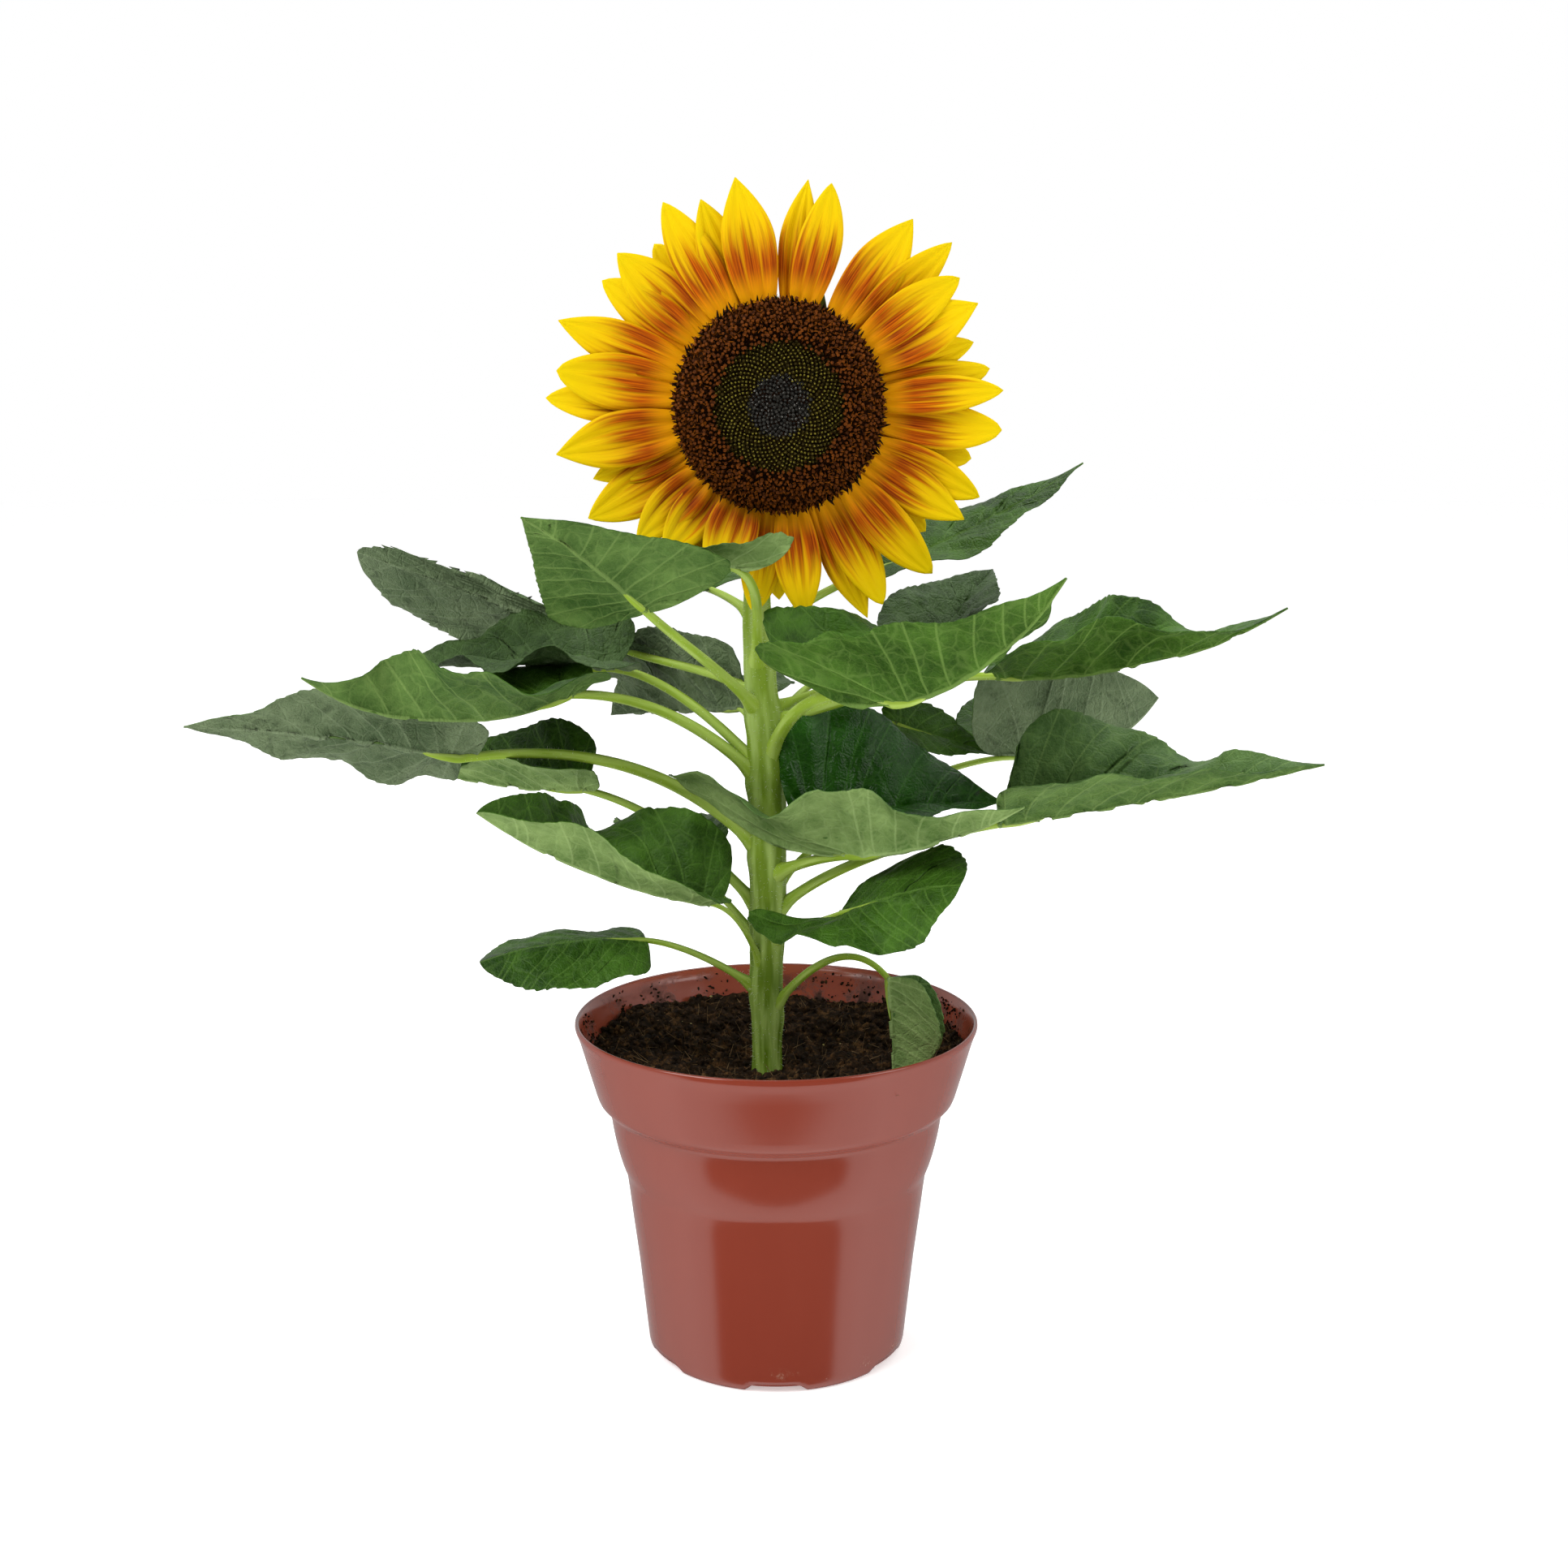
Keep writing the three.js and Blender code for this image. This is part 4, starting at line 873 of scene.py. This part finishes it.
stalk_parts = []
for seed, (leaf_name, entry) in enumerate(LEAVES.items(), 100):
    leaf = {**LEAF_SHAPE, **entry}
    if leaf["kind"] == "worn" and "crinkle" not in entry:
        leaf["crinkle"] = 0.9
    verts, faces, slots, places, notes = blade(leaf, seed)
    stalk_verts, stalk_faces, stalk_corners = stalk(leaf)
    all_verts, all_faces = merged([(verts, faces.tolist()), (stalk_verts, stalk_faces)])
    corners = np.vstack([places[faces].reshape(-1, 2), stalk_corners])
    notes = {key: np.concatenate([v, np.zeros(len(stalk_verts))]) for key, v in notes.items()}
    all_slots = np.concatenate([slots, np.full(len(stalk_faces), 2)])
    skins = [LEAF_SKINS[leaf["kind"]][0], LEAF_SKINS[leaf["under"] or leaf["kind"]][1], stalk_rind]
    piece = piece_of(leaf_name + "_blade", all_verts, all_faces, skins, corners, all_slots, notes)
    hold(piece, "leaf", leaf_name)
    stalk_parts.append((stalk_verts[: STALK_STEPS * STALK_SIDES],
                        stalk_faces[: (STALK_STEPS - 1) * STALK_SIDES]))

# The stem's skin comes after the leaves, because it swells towards each leaf's stalk.
stem_share = np.linspace(0, 1, STEM_STEPS)
stem_path = spline(STEM_STATIONS, stem_share)
stem_round = once_round(STEM_SIDES)
stem_radii = eased(STEM_STATIONS[:, 3], stem_share)[:, None] + 0.16 * np.cos(RIBS * stem_round)
for entry in LEAVES.values():
    at = stem_at(entry["node"])
    aim = math.atan2(entry["base"][1] - at[1], entry["base"][0] - at[0])
    near = np.exp(-((stem_path[:, 2] - entry["node"]) / 4.5) ** 2)[:, None]
    towards = np.clip(np.cos(stem_round - aim + math.pi / 2), 0, 1) ** 2
    stem_radii = stem_radii + near * (0.15 + 0.7 * towards)
stem_verts, stem_faces, stem_corners = tube(stem_path[:, :3], stem_radii, STEM_SIDES)
stem = piece_of("stem_skin", stem_verts, stem_faces, [stem_rind], stem_corners)
hold(stem, "stem", "stem")


# Ray florets: 24 petals in a front rank and 12 behind it, each one thin pleated blade. They stand
# on the rim of the flower head, whose axis runs straight to the front.
HEAD = np.array([1, 0, 304.5])
PETAL_ROWS = 30
PETAL_COLUMNS = 15


def petal_half(share, waist, widest, rounding):
    """Half the width of a petal, as a share of its widest."""
    rise = waist + (1 - waist) * np.sin(math.pi / 2 * np.minimum(share / widest, 1))
    past = np.clip((share - widest) / (1 - widest), 0, 1)
    return np.maximum(rise * np.cos(math.pi / 2 * past) ** rounding, 0.02)


def petal(turn, root_at, reach_to, width, root_y, forward, form, dice):
    """One petal or bract as a thin sheet: points, faces and UV places (along, across)."""
    share = np.linspace(0, 1, PETAL_ROWS)[:, None]
    v = np.linspace(-1, 1, PETAL_COLUMNS)[None, :]
    rounding = form["rounding"] * dice.uniform(0.75, 1.3)
    half = petal_half(share, form["waist"], form["widest"], rounding) * width * form.get("broad", 1) / 2
    lean = form.get("lean", 0) * dice.uniform(-1, 1)
    along = root_at + (reach_to - root_at) * share + 0 * v
    side = v * half + lean * share ** 2 * (1 - share) * 4
    pleat = form.get("pleat", 0) * np.cos(3 * math.pi * v) * np.minimum(share * 5, 1) * (1 - share ** 3)
    cup = form.get("cup", 0) * dice.uniform(0.3, 1.2) * v ** 2 * np.sin(math.pi * share)
    arch = form.get("arch", 0) * dice.uniform(-0.4, 1) * np.sin(math.pi * share) + 0 * v
    tip_turn = form.get("twist", 0) * dice.uniform(-1, 1) * v * share * half
    y = root_y - forward * share ** 3 - arch - cup - pleat - tip_turn
    if "bed" in form:
        on_bed = np.interp(np.hypot(along, side), form["bed"][0], form["bed"][1])
        y = np.maximum(y, on_bed + 0.4 - 1.6 * np.clip(1 - share / 0.2, 0, 1))
    angle = math.radians(turn)
    out = np.array([math.cos(angle), 0, math.sin(angle)])
    across = np.array([-math.sin(angle), 0, math.cos(angle)])
    grid = HEAD * [1, 0, 1] + along[..., None] * out + side[..., None] * across
    grid = grid + y[..., None] * [0, 1, 0]
    up = normals_of(grid)
    thick = form["thick"] / 2 * (1 - 0.6 * v ** 4)[..., None]
    verts, faces, _ = sheet(grid + up * thick, grid - up * thick)
    places = np.stack([share + 0 * v, (v + 1) / 2 + 0 * share], -1).reshape(-1, 2)
    return verts, faces, np.tile(places, (2, 1))


def joined(parts):
    """Sheets as one: points, faces, UV places by corner and a note with each sheet's number."""
    number = [np.full(len(part[0]), i * 1.618 % 1) for i, part in enumerate(parts)]
    corners = [places[faces].reshape(-1, 2) for _, faces, places in parts]
    return *merged([part[:2] for part in parts]), np.vstack(corners), np.concatenate(number)


# Petal skin: bright yellow, with a brown blush that rises from near the base and breaks up into
# streaks along the ribs, and a fine lengthwise pleat.
PETAL_FORM = {"waist": 0.36, "widest": 0.55, "rounding": 0.74, "thick": 0.5, "pleat": 0.5, "cup": 1.3,
              "arch": 1.8, "twist": 0.3, "lean": 1.5, "broad": 0.94}
petal_skin, petal_tree, petal_shader = surface("ray floret petal")
spot = add(petal_tree, "UVMap", uv_map="along")
deal = add(petal_tree, "Attribute", attribute_name="number").outputs["Fac"]
apart = add(petal_tree, "SeparateXYZ", spot)
lane = add(petal_tree, "CombineXYZ", apart.outputs["X"], apart.outputs["Y"], deal)
stretched = add(petal_tree, "Mapping", lane, {"Scale": (1.3, 10, 40)})
streaks = add(petal_tree, "TexNoise", {"Vector": stretched, "Scale": 1, "Detail": 4})
fine_lanes = add(petal_tree, "Mapping", lane, {"Scale": (2, 34, 40)})
fine_streaks = add(petal_tree, "TexNoise", {"Vector": fine_lanes, "Scale": 1, "Detail": 3})
pushed = add(petal_tree, "Math", streaks, -0.75, apart.outputs["X"], operation="MULTIPLY_ADD")
rise_in = add(petal_tree, "MapRange", apart.outputs["X"], 0.17, 0.4, interpolation_type="SMOOTHSTEP")
fade_out = add(petal_tree, "MapRange", pushed, 0.4, 0.04, interpolation_type="SMOOTHSTEP")
band = add(petal_tree, "Math", rise_in, fade_out, operation="MULTIPLY")
rib_wave = add(petal_tree, "Math", apart.outputs["Y"], 1 / 6, operation="PINGPONG")
rib_line = add(petal_tree, "MapRange", rib_wave, 0.05, 0.0, 0.0, 0.55, interpolation_type="SMOOTHSTEP")
lit = add(petal_tree, "Math", 1.0, rib_line, operation="SUBTRACT")
blush = add(petal_tree, "Math", band, lit, operation="MULTIPLY")
yellow = add(petal_tree, "ValToRGB", apart.outputs["X"])
for stop, tone in ((0.3, "#E09800"), (0.6, "#DCB000")):
    yellow.color_ramp.elements.new(stop).color = linear(tone)
yellow.color_ramp.elements[0].color = linear("#E69A00")
yellow.color_ramp.elements[-1].color = linear("#DCC200")
streak_depth = add(petal_tree, "MapRange", fine_streaks, 0.33, 0.67)
browns = {6: linear("#702600"), 7: linear("#C05C00")}
brown = add(petal_tree, "Mix", streak_depth, browns, data_type="RGBA")
blushed = add(petal_tree, "Mix", blush, {6: yellow, 7: brown}, data_type="RGBA")
lined = add(petal_tree, "Bump", {"Height": fine_streaks, "Strength": 0.5, "Distance": 0.0003})
wire(petal_shader, {
    "Base Color": blushed, "Roughness": 0.6, "Specular IOR Level": 0.06, "Normal": lined,
    "Subsurface Weight": 0.15, "Subsurface Radius": (1.0, 0.6, 0.05), "Subsurface Scale": 0.001})

PETAL_ROOT = 24
PETAL_LAYERS = (-18.2, -17.2, -16.2)
# Each petal: direction in degrees, reach from the axis, width, and how far its tip comes forward.
FRONT_PETALS = [
    (101, 67, 17, 2), (82.5, 66, 12, 0), (76.5, 66, 14, 1), (54, 67, 17, 0), (35, 65, 14, 1),
    (27, 66, 17, 2), (4, 67, 12, 0), (354, 67, 15, 1), (336, 66, 14, 0), (329, 65, 15, 2),
    (313, 68, 15, 0), (298, 67, 14, 1), (277, 64, 15, 3), (263, 62, 14, 2), (248, 53, 17, 14),
    (231, 55, 15, 12), (223, 58, 15, 8), (210, 66, 17, 4), (192, 68, 18, 2), (171, 67, 18, 1),
    (159, 70, 15, 0), (137, 65, 18, 2), (120, 68, 15, 0), (111, 64, 15, 1),
]
BACK_PETALS = [
    (43, 70, 13, -2), (18, 61, 12, -1), (10, 64, 12, -2), (345, 60, 13, -2), (320, 58, 13, -2),
    (293, 69, 13, -1), (270, 58, 14, -2), (240, 55, 13, 2), (201, 60, 13, -1), (178, 70, 14, -2),
    (145, 64, 15, -1), (128, 60, 13, -2),
]
dice = np.random.default_rng(9)
petals = []
for i, (angle, far, broad, ahead) in enumerate(FRONT_PETALS + BACK_PETALS):
    layer = PETAL_LAYERS[i % 2] if i < len(FRONT_PETALS) else PETAL_LAYERS[2]
    petals.append(petal(angle, PETAL_ROOT, far, broad, layer, ahead, PETAL_FORM, dice))
verts, faces, corners, number = joined(petals)
rays = piece_of("ray_petals", verts, faces, [petal_skin], corners, None, {"number": number})
hold(rays, "petal", "ray_florets")


# Back of the flower: a ribbed green cup that flares from the stem, with three rings of pointed
# bracts that lie on it and stand out behind the petals.
HEAD_TURNS = 96
CUP = np.array([[0.2, -15.2], [27, -15.2], [28.2, -14], [27.6, -12], [24, -8.2], [18, -3.8], [11, -0.2],
                [7.5, 1.4], [5.6, 2.4], [4.8, 4.5], [0.2, 4.6]])
CUP_RIBS = 24
BRACTS = 15
BRACT_ROOT = 17
BRACT_WIDTH = 11.5
BRACT_FORM = {"waist": 0.7, "widest": 0.35, "rounding": 1.1, "thick": 0.7, "cup": 1.2, "arch": 0.8,
              "twist": 0.2, "bed": CUP[9:1:-1].T}
BRACT_RINGS = ((-12.5, -1.5, 38), (-9.5, -3.5, 38), (-7.5, -4, 34))
# So far from every vein that none shows, in mm.
PLAIN = 9.0
bracts = []
for ring, (root_y, tip_back, long) in enumerate(BRACT_RINGS):
    for k in range(BRACTS):
        angle = 360 * (k + ring / 3 + 0.2 * dice.uniform(-1, 1)) / BRACTS
        far = long * dice.uniform(0.9, 1.03)
        bracts.append(petal(angle, BRACT_ROOT - 1.5 * ring, far, BRACT_WIDTH, root_y, tip_back,
                            BRACT_FORM, dice))


def turned_points(profile, turns):
    """A profile of radii and depths turned round the flower head's axis."""
    turn = once_round(turns)
    return np.stack([
        HEAD[0] + profile[:, 0, None] * np.cos(turn), profile[:, 1, None] + 0 * turn,
        HEAD[2] + profile[:, 0, None] * np.sin(turn)], -1)


# The leaf's under side serves as the cup's skin: its vein lines, told by each point's distance
# from one, become the ribs.
cup_points = turned_points(CUP, HEAD_TURNS)
cup_faces = [face[::-1] for face in turned_faces(len(CUP), HEAD_TURNS)]
cup_places = cup_points[..., (0, 2)].reshape(-1, 2) / 10
off_rib = np.abs((np.arange(HEAD_TURNS) * CUP_RIBS / HEAD_TURNS + 0.5) % 1 - 0.5)
cup_notes = {"vein": np.tile(off_rib, len(CUP)), "rib": np.full(len(cup_places), PLAIN),
             "gauge": np.repeat(2 * math.pi * CUP[:, 0] / CUP_RIBS, HEAD_TURNS)}
cup = piece_of("flower_cup", cup_points.reshape(-1, 3), cup_faces, [LEAF_SKINS["pale"][1]],
               np.vstack([cup_places[face] for face in cup_faces]), None, cup_notes)
hold(cup, "leaf", "flower_back")
verts, faces, corners, _ = joined(bracts)
bract_notes = {key: np.full(len(verts), level)
               for key, level in (("vein", 0.5), ("gauge", PLAIN), ("rib", PLAIN))}
leafy = piece_of("flower_bracts", verts, faces, [LEAF_SKINS["fresh"][1]], corners * 3, None, bract_notes)
hold(leafy, "leaf")


# Disc: the dark middle of the flower, a flat receptacle packed with tube florets in spirals, each a
# golden angle on from the last: tight grey buds in the dimple, olive ones round them, dark bract
# tips, open brown florets with forked stigmas, and a ragged fringe over the petals' bases.
DISC_RADIUS = 31
DISC_FACE = ((0, -24), (5, -24.6), (12, -25.6), (22, -26), (27, -25.2), (29.5, -23.8), (31, -21.2))
FLORETS = 2300
GOLDEN_TURN = math.radians(137.508)

face_r, face_y = np.array(DISC_FACE).T
dome = np.array([[0.3, -19.2], [30.2, -19.2], [30.9, -20.6]] + [
    [r, y + 0.9] for r, y in zip(face_r[::-1] - 0.4, face_y[::-1]) if r > 1] + [[0.3, -23.1]])


def floret_skin(name, tone, deep, roughness):
    """Dry floret tissue in two tones, mottled at under a millimetre."""
    material, tree, skin = surface(name)
    place = add(tree, "TexCoord").outputs["Object"]
    mottle = add(tree, "TexNoise", {"Vector": place, "Scale": 900, "Detail": 3})
    spread = add(tree, "MapRange", mottle, 0.35, 0.65)
    tones = add(tree, "Mix", spread, {6: linear(deep), 7: linear(tone)}, data_type="RGBA")
    bumped = add(tree, "Bump", {"Height": mottle, "Strength": 0.4, "Distance": 0.0002})
    wire(skin, {
        "Base Color": tones, "Roughness": roughness, "Specular IOR Level": 0.08, "Normal": bumped})
    return material


receptacle = floret_skin("floret bases", "#3C1D03", "#1C0D02", 0.8)
disc_bed = piece_of("disc_bed", turned_points(dome, HEAD_TURNS).reshape(-1, 3),
                    turned_faces(len(dome), HEAD_TURNS), [receptacle])
hold(disc_bed, "disc", "disc_florets")

# Kinds of floret by zone, as shares of the disc's radius, and how many of the places there have one:
# shape (sides, radius at top and bottom, height, all mm), how far it stands proud, how far it tips
# at random in degrees, and its skin (light and deep colour, roughness).
FLORET_KINDS = {
    "closed grey bud": (0.0, 0.31, 1.0, (6, 0.16, 0.66, 1.3), 0.0, 10, ("#45433E", "#1D1C1A", 0.5)),
    "grey bud tip": (0.0, 0.29, 0.5, (5, 0.05, 0.22, 0.7), 0.9, 25, ("#8E8B84", "#55524D", 0.5)),
    "olive bud": (0.29, 0.64, 1.0, (6, 0.3, 0.7, 1.0), 0.0, 8, ("#3C3210", "#1E1806", 0.45)),
    "olive bud tip": (0.27, 0.62, 0.92, (5, 0.13, 0.3, 0.6), 0.75, 20, ("#8A8030", "#58521A", 0.5)),
    "dark bract tip": (0.56, 0.8, 0.8, (4, 0.04, 0.42, 2.1), 0.0, 14, ("#3C1B04", "#1C0B02", 0.6)),
    "open floret": (0.6, 1.0, 0.85, (5, 0.5, 0.3, 1.9), 0.0, 18, ("#683404", "#361804", 0.65)),
    "stigma": (0.7, 1.0, 0.85, (4, 0.05, 0.2, 1.7), 1.0, 42, ("#84480A", "#522A06", 0.6)),
    "spent stigma": (0.8, 1.0, 0.75, (4, 0.05, 0.18, 1.8), 0.7, 60, ("#502604", "#241002", 0.7)),
}
SPIRAL_SIZES = {"Florets": FLORETS, "Radius": DISC_RADIUS * 0.001, "Turn": GOLDEN_TURN}

spirals, given = new_tree("florets in spirals", **SPIRAL_SIZES)
points = add(spirals, "GeometryNodePoints", {"Count": given.outputs["Florets"]})
index = add(spirals, "GeometryNodeInputIndex")
middle = add(spirals, "Math", index, 0.5, operation="ADD")
part = add(spirals, "Math", middle, given.outputs["Florets"], operation="DIVIDE")
out_share = add(spirals, "Math", part, operation="SQRT")
angle = add(spirals, "Math", index, given.outputs["Turn"], operation="MULTIPLY")
out_by = add(spirals, "Math", out_share, given.outputs["Radius"], operation="MULTIPLY")
cosine, sine = (add(spirals, "Math", angle, operation=wave) for wave in ("COSINE", "SINE"))
relief = add(spirals, "FloatCurve", {"Value": out_share})
shape_line = relief.mapping.curves[0]
for r, y in zip(face_r[1:-1], face_y[1:-1]):
    shape_line.points.new(r / DISC_RADIUS, (-20 - y) / 10)
shape_line.points[0].location = (0, (-20 - face_y[0]) / 10)
shape_line.points[-1].location = (1, (-20 - face_y[-1]) / 10)
relief.mapping.update()
face_at = add(spirals, "Math", relief, -0.01, -0.02, operation="MULTIPLY_ADD")
across = add(spirals, "Math", cosine, out_by, HEAD[0] * 0.001, operation="MULTIPLY_ADD")
above = add(spirals, "Math", sine, out_by, HEAD[2] * 0.001, operation="MULTIPLY_ADD")
put = add(spirals, "CombineXYZ", across, face_at, above)
placed = add(spirals, "GeometryNodeSetPosition", points, {"Position": put})
steepened = add(spirals, "Math", out_share, 5.0, operation="POWER")
lean = add(spirals, "Math", steepened, 0.9, operation="MULTIPLY")
lean_across = add(spirals, "Math", cosine, lean, operation="MULTIPLY")
lean_above = add(spirals, "Math", sine, lean, operation="MULTIPLY")
facing = add(spirals, "CombineXYZ", lean_across, -1.0, lean_above)
upright = add(spirals, "FunctionNodeAlignRotationToVector", {"Vector": facing}, axis="Z")
grown = add(spirals, "GeometryNodeJoinGeometry")
for number, (floret, sizes) in enumerate(FLORET_KINDS.items()):
    low, high, chance, (sides, top, bottom, tall), proud, tip, looks = sizes
    luck = add(spirals, "FunctionNodeRandomValue", {"Seed": 10 * number + 1})
    beyond = add(spirals, "Math", out_share, low, operation="GREATER_THAN")
    within = add(spirals, "Math", out_share, high, operation="LESS_THAN")
    lucky = add(spirals, "Math", luck, chance, operation="LESS_THAN")
    inside = add(spirals, "Math", beyond, within, operation="MULTIPLY")
    chosen = add(spirals, "Math", inside, lucky, operation="MULTIPLY")
    form = add(spirals, "GeometryNodeMeshCone", {
        "Vertices": sides, "Radius Top": top * 0.001, "Radius Bottom": bottom * 0.001,
        "Depth": tall * 0.001})
    raised = add(spirals, "GeometryNodeTransform", form, {"Translation": (0, 0, (proud - 0.5) * 0.001)})
    skinned = add(spirals, "GeometryNodeSetMaterial", raised, {"Material": floret_skin(floret, *looks)})
    swing = math.radians(tip)
    tipped = add(spirals, "FunctionNodeRandomValue", (-swing, -swing, 0), (swing, swing, 6.28),
                 {"Seed": 10 * number + 2}, data_type="FLOAT_VECTOR")
    spun = add(spirals, "FunctionNodeRotateRotation", upright, tipped, rotation_space="LOCAL")
    scale = add(spirals, "FunctionNodeRandomValue", {2: 0.8, 3: 1.2, "Seed": 10 * number + 3})
    copies = add(spirals, "GeometryNodeInstanceOnPoints", {
        "Points": placed, "Selection": chosen, "Instance": skinned, "Rotation": spun, "Scale": scale})
    wire(grown, copies)
real = add(spirals, "GeometryNodeRealizeInstances", grown)
add(spirals, "NodeGroupOutput", real)
florets = piece_of("disc_tube_florets", [[0, 0, 0]], [], [])
hold(baked(florets, spirals, **SPIRAL_SIZES), "disc")

fringe_skin = floret_skin("ragged dark bract", "#241205", "#0E0703", 0.7)
FRINGE_TIPS = 190
fringe_dice = np.random.default_rng(3)
fringe_parts = []
for k in range(FRINGE_TIPS):
    at = 2 * math.pi * (k + fringe_dice.uniform(-0.4, 0.4)) / FRINGE_TIPS
    out = np.array([math.cos(at), 0, math.sin(at)])
    start = HEAD * [1, 0, 1] + out * fringe_dice.uniform(28.8, 30.4)
    start = start + [0, fringe_dice.uniform(-23.4, -20.5), 0]
    aside = np.array([-math.sin(at), 0, math.cos(at)]) * fringe_dice.uniform(-0.7, 0.7)
    way = out * fringe_dice.uniform(0.6, 1.1) + aside + [0, -fringe_dice.uniform(0.1, 0.9), 0]
    way *= fringe_dice.uniform(2.2, 4.0) / np.linalg.norm(way)
    bow = np.array([0, -0.5, 0])
    line = np.array([start + way * t + bow * t * t for t in (0, 0.45, 0.8, 1)])
    slimming = np.array([0.42, 0.36, 0.2, 0.05]) * fringe_dice.uniform(0.8, 1.3)
    fringe_parts.append(tube(line, slimming, 4)[:2])
fringe = piece_of("disc_fringe", *merged(fringe_parts), [fringe_skin], smooth=False)
hold(fringe, "disc")


# Hairs: fine white hairs stand out all over the stem and the stalks, about a millimetre long.
hair_white = surface("white plant hair", Base_Color=linear("#E4EBD0"), Roughness=0.5,
                     Transmission_Weight=0.35)[0]
HAIR = ("GeometryNodeMeshCone", {
    "Vertices": 3, "Radius Top": 0.008, "Radius Bottom": 0.04, "Depth": 1.0})
hairy = scatter_tree("stem hairs", HAIR, hair_white, 1.0, 0.5, 91)
HAIRY = slice(6, 225)
coat = piece_of("stem_hairs", *tube(stem_path[HAIRY, :3], stem_radii[HAIRY], STEM_SIDES)[:2], [])
hold(baked(coat, hairy, Density=360000, Smallest=0.0005, Largest=0.0013, Patches=0.0), "stem")
coat = piece_of("stalk_hairs", *merged(stalk_parts), [])
hold(baked(coat, hairy, Density=260000, Smallest=0.0004, Largest=0.0009, Patches=0.0), "leaf")
